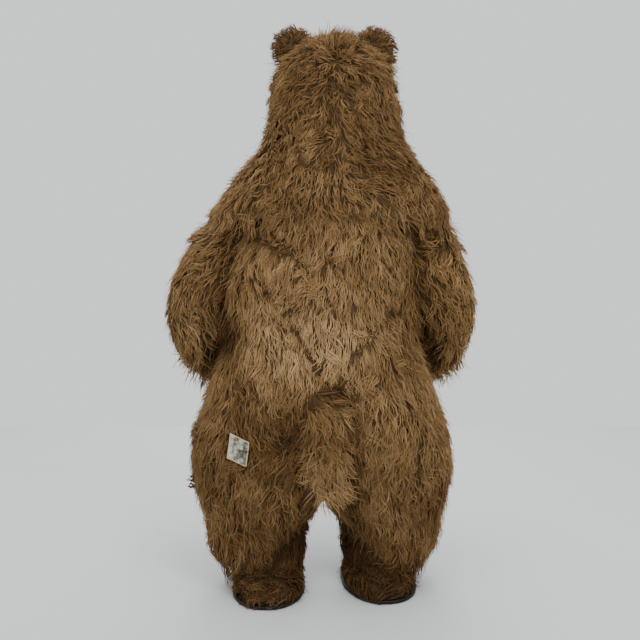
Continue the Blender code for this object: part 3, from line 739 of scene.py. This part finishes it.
def scatter(mesh, density):
    """Random points of a mesh with its smoothed normals, evenly by area."""
    mesh.calc_loop_triangles()
    corners = np.empty(len(mesh.loop_triangles) * 3, np.int64)
    mesh.loop_triangles.foreach_get("vertices", corners)
    corners = corners.reshape(-1, 3)
    places, outward = corners_of(mesh)
    a, b, c = (places[corners[:, n]] for n in range(3))
    areas = np.linalg.norm(np.cross(b - a, c - a), axis=1) / 2
    count = int(areas.sum() * density * DENSITY_SHARE)
    picks = rng.choice(len(areas), count, p=areas / areas.sum())
    r, s = np.sqrt(rng.random(count)), rng.random(count)
    weights = np.stack((1 - r, r * (1 - s), r * s), 1)[:, :, None]
    points = (places[corners[picks]] * weights).sum(1)
    return points, unit((outward[corners[picks]] * weights).sum(1))


def strands(kind, coat, tree, roots, normals, turn, length, stand):
    """The locks' paths over a skin from their roots, and its normals along them."""
    path, facings = [roots], [normals]
    place, facing = roots.copy(), normals.copy()
    for n in range(1, len(RINGS)):
        way = grain(kind, place, facing)
        way = way * np.cos(turn)[:, None] + np.cross(facing, way) * np.sin(turn)[:, None]
        step = length * (RINGS[n] - RINGS[n - 1])
        place = place + way * step[:, None]
        lifted = coat.depth * RING_HEIGHTS[n] * (1 + (stand - 1) * RINGS[n])
        lifted -= hem_drop(kind, place, 0.03, 0.020 if kind.startswith("head") else 0.012)
        for k in range(len(place)):
            found, normal, _, _ = tree.find_nearest(Vector(place[k]))
            if found is None:
                continue
            normal = np.array(normal)
            if normal @ facing[k] < 0.2:
                normal = facing[k]
            facing[k] = unit(0.35 * facing[k] + 0.65 * normal)
            place[k] += facing[k] * (lifted[k] - (place[k] - np.array(found)) @ facing[k])
        path.append(place.copy())
        facings.append(facing.copy())
    return np.stack(path, 1), np.stack(facings, 1)


def plant(kind, mesh, density):
    """The roots of the locks: spread evenly, but denser where the pile closes up."""
    roots, normals = scatter(mesh, density)
    more, more_normals = scatter(mesh, density * MORE_ROOTS)
    kept = before_crease(kind, more, -grain(kind, more, more_normals), MORE_BEHIND) < 1
    kept |= rng.random(len(more)) < 0.7 * whorl(kind, more) + 0.8 * ear_foot(kind, more)
    kept |= rng.random(len(more)) < 0.3 * round_nose(kind, more) + 0.5 * muzzle_foot(kind, more)
    roots = np.concatenate((roots, more[kept]))
    normals = np.concatenate((normals, more_normals[kept]))
    furry = under_eye(kind, roots) == 0
    return roots[furry], normals[furry]


def trimmed(kind, roots, normals, length):
    """Lock lengths, longer along the hems and cut at creases, and the share that creases leave."""
    z = roots[:, 2]
    if kind == "tail":
        length *= 1.0 + 0.7 * fall(z, FLOOR + 0.47, 0.06)
    if kind.startswith("head"):
        length *= 1.0 + 0.45 * fall(z, CAPE_HEM - SHOULDER_HEIGHT + 0.06, 0.05)
    length *= 1.0 - 0.3 * boot(kind, roots) - 0.3 * whorl(kind, roots)
    if kind.startswith("leg"):
        outer = rise(np.abs(roots[:, 0]), 0.17, 0.05)
        length *= 1.0 + 0.7 * outer * fall(z, FLOOR + LEG_HEM + 0.07, 0.05)
    if kind == "foot_upper":
        length *= 1.0 + 0.4 * fall(z, FLOOR + 0.06, 0.03)
    way = grain(kind, roots, normals)
    uncut = before_crease(kind, roots, way, length)
    length = length * np.maximum(uncut * rng.uniform(0.92, 1.0, len(roots)), 0.10) + 0.002 * (uncut < 1.0)
    length *= 0.55 + 0.45 * before_crease(kind, roots, -way, SHORT_BEHIND)
    if kind == "leg_back":
        length *= 1.0 - 0.25 * shaded_ankle_hollow(kind, roots)
    return length, uncut


def make_fur(node, skin):
    """The locks of one wall, gathered into uneven tufts."""
    kind = family(node)
    coat = COATS[kind]
    mesh = skin.data
    roots, normals = plant(kind, mesh, coat.density)
    tips, tip_normals = scatter(mesh, coat.density / LOCKS_IN_TUFT)
    corners = [Vector(place) for place in corners_of(mesh)[0]]
    tree = BVHTree.FromPolygons(corners, [tuple(face.vertices) for face in mesh.polygons])
    count, tufts = len(roots), len(tips)
    stray = rng.random(tufts) < STRAY_SHARE
    tuft_turn = coat.swirl * (ripple(tips, 11, 0.30) + 0.8 * rng.normal(size=tufts))
    tuft_turn *= 1.0 - 0.5 * flat_lit_back(kind, tips)
    tuft_turn += whorl(kind, tips) * rng.normal(0, 1.0, tufts)
    tuft_turn += stray * rng.normal(0, 0.7, tufts)
    tuft_length = coat.length * rng.uniform(0.80, 1.20, tufts)
    tuft_stand = coat.stand * rng.uniform(0.75, 1.30, tufts) * np.where(stray, STRAY_STAND, 1.0)
    tuft_tone = rng.normal(0, 0.055, tufts)
    tuft_wave = rng.normal(0, 1.0, tufts)
    tuft_length *= before_crease(kind, tips, grain(kind, tips, tip_normals), tuft_length)
    lead, _ = strands(kind, coat, tree, tips, tip_normals, tuft_turn, tuft_length, tuft_stand)

    near = KDTree(tufts)
    for n, point in enumerate(tips):
        near.insert(Vector(point), n)
    near.balance()
    own = np.array([near.find(Vector(point))[1] for point in roots])
    loose = rng.random(count) < LOOSE_SHARE
    wisp = rng.random(count) < WISP_SHARE
    turn = tuft_turn[own] + rng.normal(0, 0.16, count) + loose * rng.normal(0, 0.30, count)
    turn += whorl(kind, roots) * rng.normal(0, 0.5, count)
    length = tuft_length[own] * rng.uniform(0.75, 1.12, count) * np.where(loose, 1.12, 1.0)
    stand = tuft_stand[own] * rng.uniform(0.80, 1.20, count) * np.where(loose, LOOSE_STAND, 1.0)
    stand = np.where(wisp, WISP_STAND * rng.uniform(0.6, 1.0, count), np.minimum(stand, STAND_MOST))
    stand *= standing(kind, roots, normals)
    length, uncut = trimmed(kind, roots, normals, length)
    path, facings = strands(kind, coat, tree, roots, normals, turn, length, stand)
    gather = np.array(RINGS) ** 1.5 * TUFT_PULL
    pull = rng.uniform(0.4, 1.1, count) * np.where(loose, 0.3, 1.0) * ~wisp * uncut**2
    path += gather[None, :, None] * (lead[own] - path) * pull[:, None, None]

    aside = np.cross(facings, unit(path[:, -1:] - path[:, :1]))
    bend = (tuft_wave[own] + rng.normal(0, 0.7, count))[:, None, None] * WAVE[None, :, None]
    bend += rng.normal(0, 0.0016, (count, len(RINGS), 1)) * (WAVE != 0)[None, :, None]
    path += aside * bend * (0.45 + 1.6 * coat.swirl) * coat.length / WAVE_LENGTH
    flat = path.reshape(-1, 3)
    sunk = crease_depth(flat, kind) + under_label(kind, flat) + 0.004 * boot(kind, flat)
    sunk += 0.005 * shaded_ankle_hollow(kind, flat)
    path -= facings * sunk.reshape(count, -1, 1)
    path[:, 1:, 2] = np.maximum(path[:, 1:, 2], FLOOR + 0.003 + 0.005 * rng.random((count, 1)))
    path = np.clip(path, np.array(cad_low) - PROUD, np.array(cad_high) + PROUD)

    tone = lightness(kind, roots, coat) + tuft_tone[own] + rng.normal(0, 0.075, count)
    # Loose locks are painted lighter as painted highlights, and locks in creases darker as painted shade.
    tone += 0.13 * loose - crease_depth(roots, kind) * 20.0
    level = np.clip((tone * TONES).astype(int), 0, TONES - 1)
    variant = rng.integers(0, TONES, count)
    width = coat.width * rng.uniform(0.65, 1.25, count)
    width *= np.where(wisp, WISP_WIDTH, np.where(loose, LOOSE_WIDTH, 1.0))
    width *= 1.0 - 0.2 * flat_lit_back(kind, roots)
    return build_locks("fur_" + node, path, facings, width, level, variant)


def build_locks(name, path, facings, width, level, variant):
    """One mesh of closed three-sided locks that narrow to a tip."""
    count, rings = len(path), len(RINGS) - 1
    corners = []
    for n in range(rings):
        ahead = unit(path[:, n + 1] - path[:, max(n - 1, 0)])
        aside = unit(np.cross(ahead, facings[:, n]))
        over = unit(np.cross(aside, ahead))
        half = (width * RING_WIDTHS[n] / 2)[:, None]
        corners += [path[:, n] - aside * half, path[:, n] + over * half * 0.9, path[:, n] + aside * half]
    corners.append(path[:, -1])
    per_lock = len(corners)
    places = np.stack(corners, 1).reshape(-1, 3)

    lock = []  # the corners of one lock's faces, each with its place on the lock's map
    for n in range(rings):
        low, high = n / rings * 0.86, (n + 1) / rings * 0.86
        for k, m, u0, u1 in ((0, 1, 0.0, 0.5), (1, 2, 0.5, 1.0), (2, 0, 1.0, 0.0)):
            a, b = 3 * n + k, 3 * n + m
            if n < rings - 1:
                lock += [(a, u0, low), (b, u1, low), (b + 3, u1, high)]
                lock += [(a, u0, low), (b + 3, u1, high), (a + 3, u0, high)]
            else:
                lock += [(a, u0, low), (b, u1, low), (per_lock - 1, 0.5, 1.0)]
    lock = np.array(lock + [(0, 0.0, 0.0), (2, 1.0, 0.0), (1, 0.5, 0.02)])
    loops = (lock[:, 0].astype(int) + np.arange(count)[:, None] * per_lock).reshape(-1)

    mesh = bpy.data.meshes.new(name)
    mesh.vertices.add(len(places))
    mesh.vertices.foreach_set("co", places.ravel())
    mesh.loops.add(len(loops))
    mesh.loops.foreach_set("vertex_index", loops)
    mesh.polygons.add(len(loops) // 3)
    mesh.polygons.foreach_set("loop_start", np.arange(0, len(loops), 3))
    mesh.shade_smooth()
    mesh.update()
    cell = np.stack((level, variant), 1)[:, None, :]
    map_places = (cell + MARGIN + (1 - 2 * MARGIN) * lock[:, 1:]) / TONES
    mesh.uv_layers.new(name="OFBake").data.foreach_set("uv", map_places.reshape(-1).astype(np.float32))
    give_tone(mesh, np.repeat((level + 0.5) / TONES, per_lock))
    mesh.validate()
    return add(name, mesh)


# ---- materials


class Nodes:
    """Short ways to add and join a material's nodes."""

    def __init__(self, name):
        self.material = bpy.data.materials.new(name)
        self.material.use_nodes = True
        self.tree = self.material.node_tree
        self.surface = self.tree.nodes["Principled BSDF"]

    def feed(self, socket, value):
        if isinstance(value, bpy.types.NodeSocket):
            self.tree.links.new(value, socket)
        else:
            socket.default_value = value

    def new(self, kind, fed=(), **settings):
        """A new node with its settings, and with what its sockets are fed."""
        node = self.tree.nodes.new("ShaderNode" + kind)
        for name, value in settings.items():
            setattr(node, name, value)
        for name, value in dict(fed).items():
            self.feed(node.inputs[name], value)
        return node

    def spot(self):
        return self.new("TexCoord").outputs["Object"]

    def noise(self, vector, scale, detail=2.0, rough=0.5):
        fed = {"Vector": vector, "Scale": scale, "Detail": detail, "Roughness": rough}
        return self.new("TexNoise", fed).outputs["Fac"]

    def cells(self, vector, scale):
        return self.new("TexVoronoi", {"Vector": vector, "Scale": scale}, feature="F1").outputs

    def scaled(self, vector, scale):
        return self.new("Mapping", {"Vector": vector, "Scale": scale}).outputs["Vector"]

    def maths(self, operation, *values):
        return self.new("Math", enumerate(values), operation=operation).outputs[0]

    def span(self, value, low, high, to_low, to_high):
        fed = {"Value": value, "From Min": low, "From Max": high, "To Min": to_low, "To Max": to_high}
        return self.new("MapRange", fed).outputs["Result"]

    def varied(self, tone, noise, amount):
        """A tone made lighter and darker by up to an amount."""
        return self.maths("ADD", tone, self.span(noise, 0.3, 0.7, -amount, amount))

    def ramp(self, value, *stops):
        node = self.new("ValToRGB", {"Fac": value})
        band = node.color_ramp.elements
        while len(band) < len(stops):
            band.new(0.5)
        for element, (place, colour) in zip(band, stops):
            element.position = place
            element.color = (*colour, 1.0)
        return node.outputs["Color"]

    def mix(self, first, second, share, **settings):
        fed = {"Factor": share, "A": first, "B": second}
        return self.new("Mix", fed, data_type="RGBA", **settings).outputs["Result"]

    def times(self, colour, value):
        """A colour made lighter or darker by a number."""
        grey = self.new("CombineColor", {"Red": value, "Green": value, "Blue": value})
        return self.mix(colour, grey.outputs["Color"], 1.0, blend_type="MULTIPLY")

    def bump(self, height, strength, distance):
        fed = {"Strength": strength, "Distance": distance, "Height": height}
        self.set(Normal=self.new("Bump", fed).outputs["Normal"])

    def set(self, **values):
        for name, value in values.items():
            self.feed(self.surface.inputs[name.replace("_", " ")], value)


PILE_COLOURS = (
    (0.00, (0.032, 0.0105, 0.0022)),
    (0.25, (0.113, 0.0525, 0.0158)),
    (0.50, (0.242, 0.135, 0.0510)),
    (0.75, (0.400, 0.243, 0.1080)),
    (1.00, (0.600, 0.398, 0.2050)),
)
# The backing's dark browns are painted shade where it shows between the locks.
BACKING_COLOURS = (
    (0.00, (0.012, 0.0065, 0.0032)),
    (0.50, (0.060, 0.0350, 0.0165)),
    (1.00, (0.180, 0.1120, 0.0560)),
)
RUBBER_COLOURS = (
    (0.35, (0.004, 0.004, 0.004)), (0.62, (0.010, 0.010, 0.009)), (0.80, (0.035, 0.033, 0.030)),
)
GLOSS_COLOURS = ((0.3, (0.002, 0.002, 0.002)), (0.7, (0.006, 0.005, 0.005)))
FILM_COLOURS = (
    (0.22, (0.050, 0.036, 0.018)),
    (0.40, (0.170, 0.147, 0.094)),
    (0.50, (0.300, 0.285, 0.225)),
    (0.66, (0.470, 0.462, 0.385)),
)
GLINT_COLOUR = (0.36, 0.33, 0.66, 1.0)
GILT_COLOUR = (0.56, 0.40, 0.22, 1.0)


def pile_material():
    """Long glossy fibre: dark at the root, paler at the tip, with fine lengthwise strands."""
    m = Nodes("brown_pile_locks")
    spot = m.new("UVMap", uv_map="OFBake").outputs["UV"]
    up = m.new("SeparateXYZ", {"Vector": spot}).outputs["Y"]
    along = m.maths("FRACT", m.maths("MULTIPLY", up, float(TONES)))
    tone = m.new("Attribute", attribute_name="tone").outputs["Fac"]
    hairs = m.noise(m.scaled(spot, (90.0, 14.0, 1.0)), 1.0, 3.0, 0.6)
    mottled = m.noise(m.scaled(spot, (9.0, 26.0, 1.0)), 1.0, 1.0)
    colour = m.ramp(m.varied(m.varied(tone, hairs, 0.14), mottled, 0.05), *PILE_COLOURS)
    m.set(Base_Color=m.times(colour, m.span(along, 0.08, 0.85, 0.72, 1.12)))
    m.set(Roughness=0.7, Metallic=0.0, IOR=1.45)
    m.set(Specular_IOR_Level=0.16, Sheen_Weight=0.16, Sheen_Roughness=0.45)
    m.set(Sheen_Tint=(1.0, 0.60, 0.26, 1.0))
    m.bump(hairs, 0.5, 0.001)
    return m.material


def backing_material():
    """The woven backing, in browns darker than the pile's as painted shade between the locks, with short
    flattened fibre on it.
    """
    m = Nodes("brown_pile_backing")
    spot = m.spot()
    fibre = m.noise(m.scaled(spot, (420.0, 420.0, 60.0)), 1.0, 3.0, 0.65)
    tone = m.new("Attribute", attribute_name="tone").outputs["Fac"]
    tone = m.varied(m.varied(tone, fibre, 0.14), m.noise(spot, 9.0, 2.0), 0.05)
    m.set(Base_Color=m.ramp(tone, *BACKING_COLOURS))
    m.set(Roughness=0.9, Metallic=0.0, Specular_IOR_Level=0.1)
    m.bump(fibre, 0.6, 0.002)
    return m.material


def rubber_material():
    m = Nodes("black_sole_rubber")
    spot = m.spot()
    scuffs = m.noise(m.scaled(spot, (40.0, 40.0, 160.0)), 1.0, 4.0, 0.7)
    m.set(Base_Color=m.ramp(scuffs, *RUBBER_COLOURS), Metallic=0.0)
    m.set(Roughness=m.span(scuffs, 0.3, 0.7, 0.32, 0.6), Specular_IOR_Level=0.25)
    m.bump(m.noise(spot, 900.0, 3.0, 0.6), 0.25, 0.0006)
    return m.material


def gloss_material(name, leathery):
    m = Nodes(name)
    spot = m.spot()
    pebbles = m.cells(spot, 520.0)["Distance"]
    smear = m.noise(spot, 60.0, 3.0)
    m.set(Base_Color=m.ramp(smear, *GLOSS_COLOURS), Metallic=0.0)
    m.set(Roughness=m.span(smear, 0.3, 0.7, *((0.30, 0.45) if leathery else (0.10, 0.18))))
    m.set(Specular_IOR_Level=0.10, Coat_Weight=0.05, Coat_Roughness=0.06)
    m.bump(pebbles if leathery else smear, 0.35 if leathery else 0.03, 0.0006)
    return m.material


def film_material():
    """Thin clear film, pale and silvery, crushed into facets painted bright and dark as painted
    reflection, with a painted violet glint and a gilt rim.
    """
    m = Nodes("creased_clear_film")
    spot = m.new("UVMap", uv_map="film").outputs["UV"]
    facets = m.cells(spot, 7.0)
    facet = m.new("SeparateColor", {"Color": facets["Color"]}).outputs["Red"]
    parts = m.new("SeparateXYZ", {"Vector": spot}).outputs
    across, up = parts["X"], parts["Y"]
    # Each facet's colour is painted lighter or darker, as painted reflection.
    tint = m.maths("ADD", m.noise(spot, 3.6, 3.0), m.span(facet, 0.0, 1.0, -0.12, 0.12))
    tint = m.maths("ADD", tint, m.span(across, 0.0, 1.0, -0.16, 0.10))
    sideways, upwards = (m.maths("ABSOLUTE", m.maths("SUBTRACT", way, 0.5)) for way in (across, up))
    rim = m.span(m.maths("MAXIMUM", sideways, upwards), 0.44, 0.46, 0.0, 1.0)
    worn = m.maths("MULTIPLY", rim, m.span(m.noise(spot, 9.0, 2.0), 0.38, 0.5, 0.1, 1.0))
    away = [
        m.maths("POWER", m.maths("MULTIPLY", m.maths("SUBTRACT", way, middle), sharpness), 2.0)
        for way, middle, sharpness in ((across, 0.30, 9.0), (up, 0.17, 12.0))
    ]
    # A painted violet glint low on the film.
    glint = m.span(m.maths("ADD", *away), 0.3, 1.0, 0.85, 0.0)
    colour = m.mix(m.ramp(tint, *FILM_COLOURS), GLINT_COLOUR, glint)
    m.set(Base_Color=m.mix(colour, GILT_COLOUR, worn), Metallic=0.2)
    m.set(Roughness=m.span(tint, 0.3, 0.7, 0.18, 0.36), Coat_Weight=0.6, Coat_Roughness=0.05)
    m.bump(m.span(facets["Distance"], 0.0, 0.5, 0.0, 1.0), 0.8, 0.0016)
    return m.material


# ---- soles, eyes, nose and label

# The sole's side from the floor up: height, and how far in from its widest line
SOLE_PROFILE = (
    (0.0000, 0.0045), (0.0008, 0.0022), (0.0026, 0.0006), (0.0050, 0.0000), (0.0072, 0.0000),
    (0.0078, 0.0014), (0.0088, 0.0014), (0.0094, 0.0000), (0.0112, 0.0004), (0.0124, 0.0018),
    (0.0130, 0.0045),
)
SOLE_WIDEST = 0.004  # height of the CAD sole's widest ring
OUTLINE_STEPS = 4  # between two of its corners


def make_sole(node):
    """A moulded rubber sole with rounded edges and a groove round its side."""
    places, _ = corners_of(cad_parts[node].data)
    ring = places[np.abs(places[:, 2] - FLOOR - SOLE_WIDEST) < 0.001][:, :2]
    ring = np.unique(ring.round(5), axis=0)
    middle = ring.mean(0)
    ring = ring[np.argsort(np.arctan2(*(ring - middle).T[::-1]))]
    before, after, beyond = np.roll(ring, 1, 0), np.roll(ring, -1, 0), np.roll(ring, -2, 0)
    outline = []
    for k in range(OUTLINE_STEPS):
        t = k / OUTLINE_STEPS
        bend = t * (3 * ring - before - 3 * after + beyond)
        bend = t * (2 * before - 5 * ring + 4 * after - beyond + bend)
        outline.append(ring + 0.5 * t * (after - before + bend))
    outline = np.stack(outline, 1).reshape(-1, 2)
    ahead = unit(np.roll(outline, -1, 0) - np.roll(outline, 1, 0))
    outward = np.stack((ahead[:, 1], -ahead[:, 0]), 1)

    builder = bmesh.new()
    rings = []
    for height, inset in SOLE_PROFILE:
        rings.append([builder.verts.new((x, y, FLOOR + height)) for x, y in outline - outward * inset])
    for low, high in zip(rings, rings[1:]):
        for k in range(len(low)):
            m = (k + 1) % len(low)
            builder.faces.new((low[k], low[m], high[m], high[k]))
    builder.faces.new(rings[0][::-1])
    builder.faces.new(rings[-1])
    mesh = closed(builder, "outsole_" + node)
    shade_round(mesh)
    return add("outsole_" + node, mesh)


def rounder(node, name):
    """A copy of a CAD ball that was cut to fit, with its round side made finer."""
    builder = opened(node)
    crease = builder.edges.layers.float.new("crease_edge")
    for edge in builder.edges:
        if edge.calc_face_angle(0.0) > math.radians(48):
            edge[crease] = 1.0
    made = add(name, closed(builder, name))
    made = modified(made, "SUBSURF", levels=2)
    shade_round(made.data)
    return made


def make_eye(node):
    return rounder(node, "domed_" + node)


def make_nose(node):
    """A moulded nose with two nostrils and a groove below."""
    made = rounder(node, "moulded_" + node)
    places, outward = corners_of(made.data)
    middle = places.mean(0)
    x, y, height = (places - middle).T
    nostrils = bell((np.abs(x) - 0.019) / 0.007, (height + 0.003) / 0.006)
    groove = bell(x / 0.0022) * fall(height, 0.002, 0.01)
    pressed = (0.0042 * nostrils + 0.0018 * groove) * (y < 0.004)
    move(made.data, places - outward * pressed[:, None])
    return made


# The folded ridges of the crushed film, each from one place on it to another, across and up
LABEL_RIDGES = (
    ((0.32, 0.40), (-0.02, 0.02)),
    ((-0.02, 0.02), (-0.14, -0.22)),
    ((-0.02, 0.02), (0.10, -0.14)),
)
LABEL_COLUMNS = 30
LABEL_ROWS = 36


def make_label(node):
    """A crushed square of clear film that lies askew on the pile."""
    tree = BVHTree.FromObject(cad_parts[node], bpy.context.evaluated_depsgraph_get())
    (tilt, side_tilt), (width, length) = LABEL_TILTS, LABEL_SIZE
    middle = Vector((LABEL_X, 1.0, LABEL_HEIGHT - SHOULDER_HEIGHT))
    places, faces = [], []
    for j in range(LABEL_ROWS + 1):
        for k in range(LABEL_COLUMNS + 1):
            right, over = (k / LABEL_COLUMNS - 0.5) * width, (j / LABEL_ROWS - 0.5) * length
            x = LABEL_X + right * math.cos(tilt) - over * math.sin(side_tilt)
            z = LABEL_HEIGHT - SHOULDER_HEIGHT + right * math.sin(tilt) + over * math.cos(side_tilt)
            towards = Vector((x - LABEL_X, 0.0, z + SHOULDER_HEIGHT - LABEL_HEIGHT))
            under, _, _, _ = tree.ray_cast(middle + 0.97 * towards, Vector((0.0, -1.0, 0.0)))
            places.append((x, under.y, z))
            if j and k:
                last = len(places) - 1
                below = last - LABEL_COLUMNS - 1
                faces.append((last, last - 1, below - 1, below))
    places = np.array(places)
    across, up = label_place(*placed(places))
    crushed = 0.0026 * np.abs(ripple(places, 91, 0.034, 5)) + 0.0015 * np.abs(ripple(places, 92, 0.014))
    for ridge in LABEL_RIDGES:
        crushed += 0.0050 * bell(away_from(np.stack((across, up), 1), *np.array(ridge)) / 0.05)
    crushed -= 0.004 * bell((up - 0.06 + 0.2 * (across + 0.3)) / 0.03) * fall(across, -0.12, 0.1)
    rim = rise(np.maximum(np.abs(across), np.abs(up)), 0.44, 0.03)
    curled = 0.005 * rise(across - up, 0.55, 0.45) + 0.003 * rise(up + across, 0.6, 0.4)
    places[:, 1] += 0.001 + crushed * (1.0 - rim) + 0.0022 * rim + curled
    mesh = bpy.data.meshes.new("crushed_label")
    mesh.from_pydata(places.tolist(), [], faces)
    flat = mesh.uv_layers.new(name="film")
    for corner in mesh.loops:
        flat.data[corner.index].uv = (across[corner.vertex_index] + 0.5, up[corner.vertex_index] + 0.5)
    made = add("crushed_label", mesh)
    made = modified(made, "SOLIDIFY", thickness=0.0007, offset=0.0)
    made.data.shade_flat()
    return made


# ---- the costume's pieces

PILE, BACKING = pile_material(), backing_material()
for node in sorted(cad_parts):
    if family(node) not in COATS:
        continue
    skin = make_skin(node)
    fur = make_fur(node, skin)
    skin = modified(skin, "SOLIDIFY", thickness=SKIN_THICKNESS, offset=-1.0)
    skin.data.shade_smooth()
    skin.data.materials.clear()
    skin.data.materials.append(BACKING)
    fur.data.materials.append(PILE)
    for piece in (skin, fur):
        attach(piece, "root")
    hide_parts(node)

RUBBER, EYE_PLASTIC = rubber_material(), gloss_material("black_eye_plastic", False)
for node, make, slot, finish in (
    ("sole_left", make_sole, "black_rubber", RUBBER),
    ("sole_right", make_sole, "black_rubber", RUBBER),
    ("eye_left", make_eye, "black_gloss", EYE_PLASTIC),
    ("eye_right", make_eye, "black_gloss", EYE_PLASTIC),
    ("nose", make_nose, "black_gloss", gloss_material("black_nose_plastic", True)),
    ("hip_label", make_label, "clear_film", film_material()),
):
    made = make(node)
    made.data.materials.clear()
    made.data.materials.append(finish)
    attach(made, "root")
    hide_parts(node)

# ---- floor, light and camera

LIGHTS = (
    ("key", (-1.8, 3.4, 2.6), 2.0, 92),
    ("fill", (2.8, 3.0, 1.8), 2.2, 28),
    ("top", (0.0, 0.3, 3.2), 2.4, 48),
    ("front", (0.0, -3.6, 1.8), 2.4, 70),
)
FLOOR_COLOURS = ((0.3, (0.60, 0.62, 0.62)), (0.7, (0.70, 0.72, 0.72)))


def studio():
    bpy.ops.mesh.primitive_plane_add(size=1.0, location=(0.0, 0.6, FLOOR))
    floor = bpy.context.object
    floor.scale = (*FLOOR_SIZE, 1.0)
    floor.name = "floor"
    m = Nodes("pale_floor")
    m.set(Base_Color=m.ramp(m.noise(m.spot(), 1.3, 3.0), *FLOOR_COLOURS), Roughness=0.55)
    floor.data.materials.append(m.material)
    world = bpy.data.worlds.new("studio")
    bpy.context.scene.world = world
    world.use_nodes = True
    background = world.node_tree.nodes["Background"].inputs
    background["Color"].default_value = (0.78, 0.80, 0.80, 1.0)
    background["Strength"].default_value = 1.32
    for name, place, size, power in LIGHTS:
        data = bpy.data.lights.new(name, "AREA")
        data.size = size
        data.energy = power
        light = add(name, data)
        light.location = place
        aim = Vector((0.0, 0.0, -0.35)) - Vector(place)
        light.rotation_euler = aim.to_track_quat("-Z", "Y").to_euler()


def camera():
    data = bpy.data.cameras.new("camera")
    data.sensor_width = 36.0
    data.lens = CAMERA_LENS
    data.shift_x = CAMERA_SHIFT
    made = add("camera", data)
    made.location = CAMERA_PLACE
    made.rotation_euler = (math.pi / 2 - CAMERA_PITCH, 0.0, math.pi)
    bpy.context.scene.camera = made


studio()
camera()
